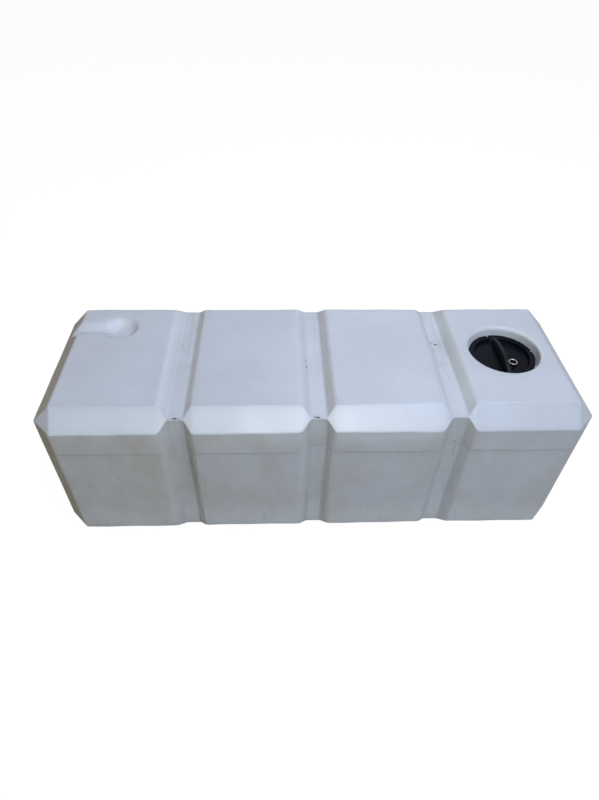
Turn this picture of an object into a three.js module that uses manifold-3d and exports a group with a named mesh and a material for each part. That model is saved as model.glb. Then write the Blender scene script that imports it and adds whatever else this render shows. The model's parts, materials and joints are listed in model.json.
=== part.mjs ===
// A long, low water tank, moulded in one piece from natural polyethylene.
// Three strap grooves run right round it, a screw lid with a breather sits in
// a well at one end, a hose recess leads over the other end, and a brass
// outlet with a screwed plug is moulded low into that end.
//
// Millimetres, +Z up. The origin is under the middle of the base.
// +X runs along the tank towards the lid, and +Y towards the back.

import * as THREE from 'three';
import { mergeVertices } from 'three/addons/utils/BufferGeometryUtils.js';
import Module from 'manifold-3d';

const wasm = await Module();
wasm.setup();

// Sizes of the moulded body
const tankLength = 1520;
const tankWidth = 540;
const tankHeight = 532;
const wall = 6;
const edgeChamfer = 55;
const edgeRadius = 10;
const grooveCount = 3;
const grooveSpacing = 380;
const grooveDepth = 27.5;
const grooveMouth = 88;
const grooveFloor = 43;
const grooveCornerRadius = 5;

// Sizes of the well, and of the neck that the lid screws into
const lidFromEnd = 195;
const lidOffset = 13;
const lidSink = 24.5;
const wellClearance = 5.5;
const wellFlare = 1.5;
const wellLipRadius = 8;
const wellFloorRadius = 2;
const neckDepth = 26;
const neckClearance = 1.5;
const neckLead = 1;

// Sizes of the hose recess: a channel over the end, and the round bulb it leads to
const recessFromEnd = 178;
const recessOffset = 125;
const recessDepth = 30;
const recessWallRun = 23;
const recessLipRadius = 8;
const recessFloorRadius = 9;
const bulbRadius = 55;
const channelHalfWidth = 31;

// Sizes of the lid
const lidRadius = 98;
const rimThickness = 7;
const rimEdgeRadius = 2.5;
const dishRadius = 82;
const dishDepth = 12;
const dishDraft = 4;
const dishFloor = 4;
const skirtRadius = 87.5;
const skirtWall = 4;
const skirtDepth = 22;
const notchCount = 4;
const notchWidth = 8;
const notchDepth = 10;
const notchAngle = THREE.MathUtils.degToRad(11.5);
const sealThickness = 3;
const sealWidth = 4;

// Sizes of the grip bar across the lid
const barRise = 24;
const barBaseWidth = 22;
const barTopWidth = 15;
const barEdgeRadius = 4;
const barBlend = 4;
const barEndDrop = 1.5;
const barWall = 3.2;

// Sizes of the breather in the lid
const breatherX = 24;
const breatherY = -31.5;
const bushRadius = 11.8;
const bushBore = 10.2;
const bushBead = 1.6;
const bushCollarRadius = 12.7;
const bushCollar = 2.5;
const bushShankRadius = 11;
const bushShankBore = 7.4;
const bushWasher = 1.5;
const gauzeThickness = 1;
const gauzeHole = 2.1;
const gauzeWire = 0.9;
const nutAcrossFlats = 30;
const nutThickness = 6;
const nutTail = 2;

// Sizes of the outlet in the end wall
const outletHeight = 118;
const outletRecessRadius = 48;
const outletRecessDepth = 24;
const outletRecessDraft = 6;
const outletLipRadius = 5;
const insertRadius = 23;
const insertBore = 15.2;
const insertLength = 26;
const insertGrooveDepth = 3;
const insertGrooveWidth = 7;
const bossWall = 9;
const plugFlangeRadius = 21.5;
const plugFlange = 4;
const plugHexAcrossFlats = 32;
const plugHex = 11;
const plugShank = 15;
const plugShankWall = 4.5;
const plugClearance = 0.5;
const plugWasher = 2.5;

// Fits and cutting allowances
const fitGap = 0.3;
const overrun = 5;
const smallBevel = 0.8;

// Counts of straight pieces in round forms
const bodyArcSteps = 2;
const cavityArcSteps = 1;
const lipArcSteps = 3;
const wellSides = 48;
const bulbSides = 36;
const lidSides = 56;
const smallSides = 28;
const beadSteps = 8;
const barStations = 16;
const flatKeptShare = 0.9;

// Levels and radii that follow from the sizes
const rimTop = tankHeight - lidSink;
const rimUnderside = -rimThickness;
const wellFloorLevel = rimUnderside - sealThickness - 2 * fitGap;
const neckRadius = skirtRadius + neckClearance;
const wellRadius = lidRadius + wellClearance;
const dishTop = -dishDepth;
const dishUnderside = dishTop - dishFloor;
const skirtEnd = rimUnderside - skirtDepth;
const lidCentreX = tankLength / 2 - lidFromEnd;
const bulbCentreX = recessFromEnd - tankLength / 2;
const sharpChamfer = grooveCornerRadius * (2 - Math.SQRT2);
const plugShankRadius = insertBore - plugClearance;

// Finishes, one material for each piece
const finishes = {
  natural: { color: 0xd6dbe0, roughness: 0.42, metalness: 0 },
  black: { color: 0x1c1e24, roughness: 0.38, metalness: 0 },
  rubber: { color: 0x17181a, roughness: 0.8, metalness: 0 },
  nickel: { color: 0xb9babb, roughness: 0.25, metalness: 1 },
  brass: { color: 0xb08d4a, roughness: 0.35, metalness: 1 },
};

function point(x, y) {
  return new THREE.Vector2(x, y);
}

// Points of the arc that rounds the corner at b, between a and c
function cornerArc(a, b, c, radius, steps) {
  const back = a.clone().sub(b).normalize();
  const on = c.clone().sub(b).normalize();
  const turn = Math.PI - Math.acos(THREE.MathUtils.clamp(back.dot(on), -1, 1));
  const start = b.clone().addScaledVector(back, radius * Math.tan(turn / 2));
  const inward = back.clone().add(on).normalize();
  const centre = b.clone().addScaledVector(inward, radius / Math.cos(turn / 2));
  const side = Math.sign(on.cross(back));
  const points = [];
  for (let i = 0; i <= steps; i += 1) {
    points.push(start.clone().rotateAround(centre, (side * turn * i) / steps));
  }
  return points;
}

// An open path of corners {at, radius}, with each inner corner rounded. A
// small bevel stays one flat.
function roundPath(corners, steps) {
  const points = [corners[0].at];
  for (let i = 1; i < corners.length - 1; i += 1) {
    const { at, radius } = corners[i];
    const pieces = radius > smallBevel ? steps : 1;
    if (radius) points.push(...cornerArc(corners[i - 1].at, at, corners[i + 1].at, radius, pieces));
    else points.push(at);
  }
  points.push(corners[corners.length - 1].at);
  return points;
}

// A closed outline with every corner rounded alike
function roundOutline(outline, radius, steps) {
  const count = outline.length;
  return outline.flatMap((at, i) => {
    const before = outline[(i + count - 1) % count];
    return cornerArc(before, at, outline[(i + 1) % count], radius, steps);
  });
}

// Moves an open path sideways to its left, with mitred corners
function offsetPath(corners, distance) {
  const normals = corners.slice(1).map(({ at }, i) => {
    const along = at.clone().sub(corners[i].at).normalize();
    return point(-along.y, along.x);
  });
  return corners.map(({ at, radius }, i) => {
    const first = normals[Math.max(i - 1, 0)];
    const second = normals[Math.min(i, normals.length - 1)];
    const mitre = first.clone().add(second).divideScalar(1 + first.dot(second));
    return { at: at.clone().addScaledVector(mitre, distance), radius };
  });
}

// The closed skin over a row of rings with equal counts of points
function loft(rings) {
  const count = rings[0].length;
  const positions = rings.flat().flatMap((p) => [p.x, p.y, p.z]);
  const index = [];
  for (let ring = 0; ring < rings.length - 1; ring += 1) {
    for (let i = 0; i < count; i += 1) {
      const next = (i + 1) % count;
      const a = ring * count + i;
      const b = ring * count + next;
      index.push(a, b, b + count, a, b + count, a + count);
    }
  }
  for (const ring of [0, rings.length - 1]) {
    const centre = new THREE.Vector3();
    rings[ring].forEach((p) => centre.addScaledVector(p, 1 / count));
    const hub = positions.length / 3;
    positions.push(centre.x, centre.y, centre.z);
    for (let i = 0; i < count; i += 1) {
      const edge = [ring * count + i, ring * count + ((i + 1) % count)];
      if (ring === 0) edge.reverse();
      index.push(edge[0], edge[1], hub);
    }
  }
  const geometry = new THREE.BufferGeometry();
  geometry.setAttribute('position', new THREE.Float32BufferAttribute(positions, 3));
  geometry.setIndex(index);
  return geometry;
}

// A solid of revolution about Z from a profile of (radius, height) points
function revolve(profile, sides) {
  return new THREE.LatheGeometry(profile, sides).rotateX(Math.PI / 2);
}

// The same, for a profile that closes on itself away from the axis
function revolveRing(profile, sides) {
  return revolve([...profile, profile[0].clone()], sides);
}

// Six times the volume inside a mesh, negative where its faces point in
function signedVolume(positions, index) {
  const corner = (i) => new THREE.Vector3().fromArray(positions, 3 * index[i]);
  let sum = 0;
  for (let i = 0; i < index.length; i += 3) {
    sum += corner(i).dot(corner(i + 1).cross(corner(i + 2)));
  }
  return sum;
}

// A three.js geometry as a solid that can be joined and cut
function solid(geometry) {
  const bare = geometry.clone();
  bare.deleteAttribute('normal');
  bare.deleteAttribute('uv');
  const merged = mergeVertices(bare);
  const vertProperties = new Float32Array(merged.attributes.position.array);
  const triVerts = new Uint32Array(merged.index.array);
  if (signedVolume(vertProperties, triVerts) < 0) {
    for (let i = 0; i < triVerts.length; i += 3) {
      [triVerts[i], triVerts[i + 1]] = [triVerts[i + 1], triVerts[i]];
    }
  }
  return new wasm.Manifold(new wasm.Mesh({ numProp: 3, vertProperties, triVerts }));
}

function cut(body, ...tools) {
  return tools.reduce((rest, tool) => rest.subtract(tool), body);
}

function join(body, ...others) {
  return others.reduce((whole, other) => whole.add(other), body);
}

function piece(name, shape, finish) {
  const mesh = shape.getMesh();
  const geometry = new THREE.BufferGeometry();
  geometry.setAttribute('position', new THREE.Float32BufferAttribute(mesh.vertProperties, 3));
  geometry.setIndex(new THREE.Uint32BufferAttribute(mesh.triVerts, 1));
  geometry.computeVertexNormals();
  const material = new THREE.MeshStandardMaterial({ ...finishes[finish], flatShading: true });
  const result = new THREE.Mesh(geometry, material);
  result.name = name;
  return result;
}

// Moulded body: inset of its skin along the length, from end face to end face
function lengthCorners() {
  const end = tankLength / 2;
  const corners = [
    { at: point(-end, edgeChamfer + edgeRadius), radius: 0 },
    { at: point(-end, edgeChamfer), radius: edgeRadius },
    { at: point(edgeChamfer - end, 0), radius: edgeRadius },
  ];
  for (let i = 0; i < grooveCount; i += 1) {
    const middle = (i - (grooveCount - 1) / 2) * grooveSpacing;
    corners.push(
      { at: point(middle - grooveMouth / 2, 0), radius: edgeRadius },
      { at: point(middle - grooveFloor / 2, grooveDepth), radius: grooveCornerRadius },
      { at: point(middle + grooveFloor / 2, grooveDepth), radius: grooveCornerRadius },
      { at: point(middle + grooveMouth / 2, 0), radius: edgeRadius },
    );
  }
  corners.push(
    { at: point(end - edgeChamfer, 0), radius: edgeRadius },
    { at: point(end, edgeChamfer), radius: edgeRadius },
    { at: point(end, edgeChamfer + edgeRadius), radius: 0 },
  );
  return corners;
}

// One eight-sided ring of the body, with soft corners
function bodyRing(x, inset, chamfer, steps) {
  const y = tankWidth / 2 - inset;
  const z = tankHeight / 2 - inset;
  const outline = [
    point(y, chamfer - z),
    point(y, z - chamfer),
    point(y - chamfer, z),
    point(chamfer - y, z),
    point(-y, z - chamfer),
    point(-y, chamfer - z),
    point(chamfer - y, -z),
    point(y - chamfer, -z),
  ];
  const radius = Math.min(edgeRadius, (flatKeptShare * chamfer) / (2 - Math.SQRT2));
  const ring = roundOutline(outline, radius, steps);
  return ring.map((p) => new THREE.Vector3(x, p.x, p.y + tankHeight / 2));
}

// The body's skin, moved in by offset. Its long chamfers run out to a sharp
// corner at each groove's floor and at each end face.
function bodyLoft(offset, steps) {
  const panelChamfer = edgeChamfer - offset * (2 - Math.SQRT2);
  const outerGroove = ((grooveCount - 1) * grooveSpacing + grooveMouth) / 2;
  const rings = roundPath(offsetPath(lengthCorners(), offset), steps).map((station) => {
    const inEnd = Math.abs(station.x) > outerGroove + edgeRadius;
    const slopeDepth = inEnd ? edgeChamfer + offset * (Math.SQRT2 - 2) : grooveDepth;
    const share = THREE.MathUtils.clamp((station.y - offset) / slopeDepth, 0, 1);
    const chamfer = THREE.MathUtils.lerp(panelChamfer, sharpChamfer, share);
    return bodyRing(station.x, station.y, chamfer, steps);
  });
  return solid(loft(rings));
}

// The air of the well and the neck, cut down from the tank's top
function wellAir() {
  const mouth = wellRadius + wellFlare;
  const lip = [
    { at: point(0, wellFloorLevel - neckDepth - overrun), radius: 0 },
    { at: point(neckRadius, wellFloorLevel - neckDepth - overrun), radius: 0 },
    { at: point(neckRadius, wellFloorLevel - neckLead), radius: 0 },
    { at: point(neckRadius + neckLead, wellFloorLevel), radius: 0 },
    { at: point(wellRadius, wellFloorLevel), radius: wellFloorRadius },
    { at: point(mouth, lidSink), radius: wellLipRadius },
    { at: point(mouth + overrun + wellLipRadius, lidSink), radius: 0 },
  ];
  const profile = roundPath(lip, lipArcSteps);
  profile.pop();
  const rimOfCut = profile[profile.length - 1];
  profile.push(point(rimOfCut.x, lidSink + overrun), point(0, lidSink + overrun));
  return placeAtLid(revolve(profile, wellSides));
}

// The wall that carries the well and the neck, left standing in the cavity
function wellJacket() {
  const profile = [
    point(0, wellFloorLevel - neckDepth),
    point(neckRadius + wall, wellFloorLevel - neckDepth),
    point(neckRadius + wall, wellFloorLevel - wall),
    point(wellRadius + wall, wellFloorLevel - wall),
    point(wellRadius + wellFlare + wall, lidSink),
    point(0, lidSink),
  ];
  return placeAtLid(revolve(profile, wellSides));
}

function placeAtLid(geometry) {
  return solid(geometry.translate(lidCentreX, lidOffset, rimTop));
}

// Side of the hose recess, from its floor up and out over its lip
function recessSide(halfWidth, depth, steps) {
  const corners = [
    { at: point(0, -depth), radius: 0 },
    { at: point(halfWidth - recessWallRun, -depth), radius: 0 },
    { at: point(halfWidth, 0), radius: recessLipRadius },
    { at: point(halfWidth + recessWallRun, 0), radius: 0 },
  ];
  if (halfWidth > recessWallRun + recessFloorRadius) corners[1].radius = recessFloorRadius;
  const side = roundPath(corners, steps);
  side.pop();
  side.push(point(side[side.length - 1].x, overrun));
  return side;
}

// The hose recess, made larger and deeper by grow
function hoseRecess(grow, steps) {
  const bulbSide = recessSide(bulbRadius + grow, recessDepth + grow, steps);
  const bulb = revolve([...bulbSide, point(0, overrun)], bulbSides);
  bulb.translate(bulbCentreX, recessOffset, tankHeight);
  const channelSide = recessSide(channelHalfWidth + grow, recessDepth + grow, steps);
  const mirrored = channelSide.slice(1).map((p) => point(-p.x, p.y));
  const outline = new THREE.Shape([...channelSide.slice(1), ...mirrored.reverse()]);
  const channel = new THREE.ExtrudeGeometry(outline, {
    depth: recessFromEnd + overrun,
    bevelEnabled: false,
  });
  channel.rotateX(Math.PI / 2).rotateZ(Math.PI / 2);
  channel.translate(-tankLength / 2 - overrun, recessOffset, tankHeight);
  return join(solid(bulb), solid(channel));
}

// Places a geometry made about Z so that its top looks out of the end wall
function placeAtOutlet(geometry) {
  geometry.rotateY(-Math.PI / 2);
  return solid(geometry.translate(-tankLength / 2, 0, outletHeight));
}

// Profile of the moulded-in insert, made larger by grow, with its grip groove
function insertProfile(grow) {
  const top = -outletRecessDepth;
  const middle = top - insertLength / 2;
  const reach = insertGrooveWidth / 2 - grow;
  const waist = insertRadius - insertGrooveDepth;
  return [
    point(insertRadius + grow, top),
    point(insertRadius + grow, middle + reach),
    point(waist + grow, middle + reach),
    point(waist + grow, middle - reach),
    point(insertRadius + grow, middle - reach),
    point(insertRadius + grow, top - insertLength - grow),
  ];
}

// Recess, pocket and bore of the outlet, cut from the end wall
function outletAir() {
  const corners = [
    { at: point(0, -outletRecessDepth), radius: 0 },
    { at: point(outletRecessRadius - outletRecessDraft, -outletRecessDepth), radius: outletLipRadius },
    { at: point(outletRecessRadius, 0), radius: outletLipRadius },
    { at: point(outletRecessRadius + overrun + outletLipRadius, 0), radius: 0 },
  ];
  const recess = roundPath(corners, lipArcSteps);
  recess.pop();
  recess.push(point(recess[recess.length - 1].x, overrun), point(0, overrun));
  const pocket = insertProfile(fitGap);
  pocket[0].y += overrun;
  const pocketEnd = pocket[pocket.length - 1];
  const pocketSolid = [point(0, pocket[0].y), ...pocket, point(0, pocketEnd.y)];
  const boreEnd = pocketEnd.y - wall - overrun;
  const bore = [
    point(0, boreEnd),
    point(insertBore, boreEnd),
    point(insertBore, pocketEnd.y + overrun),
    point(0, pocketEnd.y + overrun),
  ];
  return [recess, pocketSolid, bore].map((profile) => placeAtOutlet(revolve(profile, smallSides)));
}

// The wall round the outlet, left standing in the cavity
function outletJacket() {
  const recessEnd = -outletRecessDepth - wall;
  const bossEnd = -outletRecessDepth - insertLength - fitGap - wall;
  const profile = [
    point(0, bossEnd),
    point(insertRadius + bossWall, bossEnd),
    point(insertRadius + bossWall, recessEnd),
    point(outletRecessRadius + wall - outletRecessDraft, recessEnd),
    point(outletRecessRadius + wall, 0),
    point(0, 0),
  ];
  return placeAtOutlet(revolve(profile, smallSides));
}

function tankBody() {
  const cavity = cut(
    bodyLoft(wall, cavityArcSteps),
    wellJacket(),
    hoseRecess(wall, cavityArcSteps),
    outletJacket(),
  );
  const skin = bodyLoft(0, bodyArcSteps);
  const body = cut(skin, cavity, wellAir(), hoseRecess(0, lipArcSteps), ...outletAir());
  return piece('tank_body', body, 'natural');
}

// Height of the grip bar's top at a place along it
function barTop(y) {
  const reach = dishRadius + barBlend;
  return barRise - (barRise + barEndDrop) * (y / reach) ** 2;
}

// The grip bar as a loft, thinned by inset and reaching down to base
function gripBar(reach, inset, base) {
  const rings = [];
  for (let i = 0; i <= barStations; i += 1) {
    const y = reach * ((2 * i) / barStations - 1);
    const top = barTop(y) - inset;
    const foot = barBaseWidth / 2 - inset;
    const crown = barTopWidth / 2 - inset;
    const radius = Math.min(barEdgeRadius, flatKeptShare * crown);
    const side = roundPath(
      [
        { at: point(foot, base), radius: 0 },
        { at: point(crown, top), radius },
        { at: point(0, top), radius: 0 },
      ],
      lipArcSteps,
    );
    const mirrored = side.slice(0, -1).map((p) => point(-p.x, p.y));
    const ring = [...side, ...mirrored.reverse()];
    rings.push(ring.map((p) => new THREE.Vector3(p.x, y, p.y)));
  }
  return solid(loft(rings));
}

function lid() {
  const skirtInner = skirtRadius - skirtWall;
  const corners = [
    { at: point(0, dishUnderside), radius: 0 },
    { at: point(skirtInner, dishUnderside), radius: smallBevel },
    { at: point(skirtInner, skirtEnd), radius: smallBevel },
    { at: point(skirtRadius, skirtEnd), radius: smallBevel },
    { at: point(skirtRadius, rimUnderside), radius: smallBevel },
    { at: point(lidRadius, rimUnderside), radius: smallBevel },
    { at: point(lidRadius, 0), radius: rimEdgeRadius },
    { at: point(dishRadius, 0), radius: rimEdgeRadius },
    { at: point(dishRadius - dishDraft, dishTop), radius: rimEdgeRadius },
    { at: point(0, dishTop), radius: 0 },
  ];
  const disc = solid(revolve(roundPath(corners, lipArcSteps), lidSides));
  const bar = gripBar(dishRadius + barBlend, 0, dishTop - dishFloor / 2);
  const core = gripBar(dishRadius - dishDraft - barWall, barWall, dishUnderside - overrun);
  const notches = [];
  for (let i = 0; i < notchCount; i += 1) {
    const notch = new THREE.BoxGeometry(2 * notchDepth, notchWidth, 2 * rimThickness);
    notch.translate(lidRadius, 0, rimUnderside / 2);
    notches.push(solid(notch.rotateZ(notchAngle + (2 * Math.PI * i) / notchCount)));
  }
  const hole = new THREE.CylinderGeometry(
    bushShankRadius + fitGap,
    bushShankRadius + fitGap,
    dishFloor + 2 * overrun,
    smallSides,
  );
  hole.rotateX(Math.PI / 2).translate(breatherX, breatherY, dishTop - dishFloor / 2);
  return piece('lid', cut(join(disc, bar), core, ...notches, solid(hole)), 'black');
}

// A flat ring from height low up to high
function flatRing(inner, outer, low, high, sides) {
  const section = [point(inner, low), point(outer, low), point(outer, high), point(inner, high)];
  return solid(revolveRing(section, sides));
}

function lidSeal() {
  const inner = neckRadius + neckLead;
  const low = wellFloorLevel + fitGap;
  const seal = flatRing(inner, inner + sealWidth, low, low + sealThickness, lidSides);
  return piece('lid_seal', seal, 'rubber');
}

// Levels of the breather, from the lid's dish upwards
const washerLow = dishTop + fitGap;
const collarLow = washerLow + bushWasher + fitGap;
const collarTop = collarLow + bushCollar;
const shankEnd = dishUnderside - fitGap - nutThickness - nutTail;

function breatherBush() {
  const wallMiddle = (bushRadius + bushBore) / 2;
  const wallHalf = (bushRadius - bushBore) / 2;
  const beadCentre = point(wallMiddle, -bushBead);
  const dip = Math.acos(THREE.MathUtils.clamp(wallHalf / bushBead, 0, 1));
  const bead = [];
  for (let i = 0; i <= beadSteps; i += 1) {
    const angle = ((Math.PI + 2 * dip) * i) / beadSteps - dip;
    bead.push(point(bushBead, 0).rotateAround(point(0, 0), angle).add(beadCentre));
  }
  const outline = [
    point(bushShankBore, shankEnd),
    point(bushShankRadius, shankEnd),
    point(bushShankRadius, collarLow),
    point(bushCollarRadius, collarLow),
    point(bushCollarRadius, collarTop),
    point(bushRadius, collarTop),
    ...bead,
    point(bushBore, collarLow),
    point(bushShankBore, collarLow),
  ];
  return piece('breather_bush', solid(revolveRing(outline, smallSides)), 'nickel');
}

function breatherWasher() {
  const inner = bushShankRadius + fitGap;
  const washer = flatRing(inner, bushCollarRadius, washerLow, washerLow + bushWasher, smallSides);
  return piece('breather_washer', washer, 'rubber');
}

// A disc of square mesh that lies on the step inside the bush
function breatherGauze() {
  const radius = bushBore - fitGap;
  const middle = collarLow + fitGap + gauzeThickness / 2;
  const disc = new THREE.CylinderGeometry(radius, radius, gauzeThickness, smallSides);
  const pitch = gauzeHole + gauzeWire;
  const reach = Math.floor(radius / pitch);
  const holes = [];
  for (let column = -reach; column <= reach; column += 1) {
    for (let row = -reach; row <= reach; row += 1) {
      const x = column * pitch;
      const y = row * pitch;
      const corner = Math.hypot(Math.abs(x) + gauzeHole / 2, Math.abs(y) + gauzeHole / 2);
      if (corner < radius - gauzeWire) {
        const hole = new THREE.BoxGeometry(gauzeHole, gauzeHole, 2 * gauzeThickness);
        holes.push(solid(hole.translate(x, y, middle)));
      }
    }
  }
  const plate = solid(disc.rotateX(Math.PI / 2).translate(0, 0, middle));
  return piece('breather_gauze', cut(plate, ...holes), 'nickel');
}

function hexagon(acrossFlats) {
  const corners = [];
  const radius = acrossFlats / Math.sqrt(3);
  for (let i = 0; i < 6; i += 1) {
    corners.push(point(radius, 0).rotateAround(point(0, 0), (i * Math.PI) / 3));
  }
  return new THREE.Shape(corners);
}

function breatherNut() {
  const outline = hexagon(nutAcrossFlats);
  outline.holes.push(new THREE.Path().absarc(0, 0, bushShankRadius + fitGap, 0, 2 * Math.PI, true));
  const settings = { depth: nutThickness, bevelEnabled: false, curveSegments: smallSides };
  const nut = new THREE.ExtrudeGeometry(outline, settings);
  nut.translate(0, 0, dishUnderside - fitGap - nutThickness);
  return piece('breather_nut', solid(nut), 'black');
}

function outletInsert() {
  const outer = insertProfile(0);
  const end = outer[outer.length - 1].y;
  const outline = [...outer, point(insertBore, end), point(insertBore, outer[0].y)];
  return piece('outlet_insert', solid(revolveRing(outline, smallSides)), 'brass');
}

// Levels of the plug, from the recess floor outwards
const plugWasherLow = fitGap - outletRecessDepth;
const plugFlangeLow = plugWasherLow + plugWasher + fitGap;

function plugWasherRing() {
  const top = plugWasherLow + plugWasher;
  const washer = flatRing(insertBore, plugFlangeRadius, plugWasherLow, top, smallSides);
  return piece('plug_washer', washer, 'rubber');
}

function outletPlug() {
  const flangeTop = plugFlangeLow + plugFlange;
  const end = plugFlangeLow - plugShank;
  const hollow = plugShankRadius - plugShankWall;
  const corners = [
    { at: point(0, plugFlangeLow), radius: 0 },
    { at: point(hollow, plugFlangeLow), radius: smallBevel },
    { at: point(hollow, end), radius: smallBevel },
    { at: point(plugShankRadius, end), radius: smallBevel },
    { at: point(plugShankRadius, plugFlangeLow), radius: 0 },
    { at: point(plugFlangeRadius, plugFlangeLow), radius: smallBevel },
    { at: point(plugFlangeRadius, flangeTop), radius: smallBevel },
    { at: point(0, flangeTop), radius: 0 },
  ];
  const stem = solid(revolve(roundPath(corners, 1), smallSides));
  const settings = {
    depth: plugHex + plugFlange / 2 - smallBevel,
    bevelEnabled: true,
    bevelSize: smallBevel,
    bevelThickness: smallBevel,
    bevelOffset: -smallBevel,
    bevelSegments: 1,
  };
  const hex = new THREE.ExtrudeGeometry(hexagon(plugHexAcrossFlats), settings);
  hex.translate(0, 0, flangeTop - plugFlange / 2);
  return piece('outlet_plug', join(stem, solid(hex)), 'black');
}

const breather = new THREE.Group();
breather.position.set(breatherX, breatherY, 0);
breather.add(breatherBush(), breatherWasher(), breatherGauze(), breatherNut());

const lidGroup = new THREE.Group();
lidGroup.position.set(lidCentreX, lidOffset, rimTop);
lidGroup.add(lid(), lidSeal(), breather);

const outlet = new THREE.Group();
outlet.position.set(-tankLength / 2, 0, outletHeight);
outlet.rotation.y = -Math.PI / 2;
outlet.add(outletInsert(), plugWasherRing(), outletPlug());

const waterTank = new THREE.Group();
waterTank.add(tankBody(), lidGroup, outlet);

export default waterTank;
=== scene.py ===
# %% [markdown]
# # A moulded water tank
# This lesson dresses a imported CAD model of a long, low water tank. The tank is
# one hollow moulding of natural polyethylene with three strap grooves, a black
# screw lid with a bright breather, a hose recess, and a brass outlet with a
# plug. The CAD model fixes every size and every joint. Here each piece is
# built again with the soft edges, threads and finishes of the real one.

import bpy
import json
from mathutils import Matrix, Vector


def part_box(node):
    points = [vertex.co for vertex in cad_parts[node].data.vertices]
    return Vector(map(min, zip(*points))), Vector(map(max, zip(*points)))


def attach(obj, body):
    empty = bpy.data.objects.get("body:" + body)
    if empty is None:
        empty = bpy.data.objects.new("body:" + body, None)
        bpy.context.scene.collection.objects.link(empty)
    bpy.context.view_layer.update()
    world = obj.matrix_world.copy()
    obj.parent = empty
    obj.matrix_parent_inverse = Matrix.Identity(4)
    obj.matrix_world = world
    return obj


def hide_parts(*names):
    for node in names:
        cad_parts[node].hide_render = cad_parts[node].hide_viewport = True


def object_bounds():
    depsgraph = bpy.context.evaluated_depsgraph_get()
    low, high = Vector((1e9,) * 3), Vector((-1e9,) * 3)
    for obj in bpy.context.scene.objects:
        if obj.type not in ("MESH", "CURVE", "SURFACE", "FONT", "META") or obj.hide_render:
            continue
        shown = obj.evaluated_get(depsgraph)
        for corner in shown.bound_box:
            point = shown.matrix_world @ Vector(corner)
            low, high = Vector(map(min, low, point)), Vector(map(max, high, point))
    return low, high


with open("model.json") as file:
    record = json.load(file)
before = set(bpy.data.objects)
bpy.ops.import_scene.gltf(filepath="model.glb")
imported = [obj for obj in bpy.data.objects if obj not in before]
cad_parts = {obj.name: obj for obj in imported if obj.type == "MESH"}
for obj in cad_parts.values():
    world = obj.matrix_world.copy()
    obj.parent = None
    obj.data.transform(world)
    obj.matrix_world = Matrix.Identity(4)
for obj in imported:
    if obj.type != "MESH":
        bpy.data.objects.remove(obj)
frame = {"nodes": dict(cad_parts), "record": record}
cad_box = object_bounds()
print("tank box, in metres:", [[round(c, 3) for c in corner] for corner in cad_box])

# %% Tools and units
import json
import math

import bmesh
import bpy
import numpy as np
from mathutils import Matrix, Vector
from mathutils.geometry import delaunay_2d_cdt

MM = 0.001
BODY_OF = {
    node: body
    for body, nodes in frame["record"]["behaviour"]["bodies"].items()
    for node in nodes
}
SLOT_OF = {row["node"]: row["material_slot"] for row in frame["record"]["subparts"]}
print("nodes:", ", ".join(sorted(frame["nodes"])))

# %% [markdown]
# ## The camera
# The photograph was taken with a phone from about head height, looking steeply
# down at the long front side. Where the lens stood was worked out from the
# tank's corners. A camera can be aimed by hand, but a rotation made of plain
# turns can be checked: turn right a little, tip down from the horizon, and roll.

# %% Camera
LENS_AT = Vector((-0.1084, -1.2591, 1.5581))
LENS_MM, SENSOR_MM = 25.011, 36.0
TIP_DOWN = math.radians(44.06)
TURN = math.radians(3.08)
ROLL = math.radians(1.70)


def add_object(name, data):
    """A new object in the scene, which shows the given data."""
    made = bpy.data.objects.new(name, data)
    bpy.context.scene.collection.objects.link(made)
    return made


camera_data = bpy.data.cameras.new("camera")
camera_data.lens = LENS_MM
camera_data.sensor_width = SENSOR_MM
camera_data.sensor_fit = "AUTO"
camera = add_object("camera", camera_data)
aim = Matrix.Rotation(-TURN, 3, "Z") @ Matrix.Rotation(math.pi / 2 - TIP_DOWN, 3, "X")
aim = aim @ Matrix.Rotation(ROLL, 3, "Z")
camera.matrix_world = Matrix.Translation(LENS_AT) @ aim.to_4x4()
bpy.context.scene.camera = camera
print("camera at", tuple(round(c, 3) for c in camera.location))

# %% [markdown]
# ## Writing shader maths as plain expressions
# A material is a graph of nodes. Placing each Math node by name is slow to
# read, so a wire is wrapped in a small class: adding or multiplying two wires
# adds the Math node that does it. Every other node comes from one method that
# takes its type, its settings and what goes into its sockets. The light of the
# world is such a graph too, so the same class serves for both.


# %% Wires and graphs
class Wire:
    """The output of a shader node, which can be used in sums."""

    def __init__(self, graph, socket):
        self.graph, self.socket = graph, socket

    def math(self, operation, *values):
        return self.graph.node("Math", dict(operation=operation), dict(enumerate(values)))

    def __add__(self, other):
        return self.math("ADD", self, other)

    def __sub__(self, other):
        return self.math("SUBTRACT", self, other)

    def __rsub__(self, other):
        return self.math("SUBTRACT", other, self)

    def __mul__(self, other):
        return self.math("MULTIPLY", self, other)

    __radd__, __rmul__ = __add__, __mul__

    def size(self):
        return self.math("ABSOLUTE", self)

    def either(self, other):
        return self.math("MAXIMUM", self, other)

    def ramp(self, low, high, start=0.0, end=1.0):
        """Goes smoothly from start to end while the wire goes from low to high."""
        ends = {"From Min": low, "From Max": high, "To Min": start, "To Max": end}
        return self.graph.node(
            "MapRange", dict(interpolation_type="SMOOTHSTEP"), {"Value": self, **ends}
        )


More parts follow.
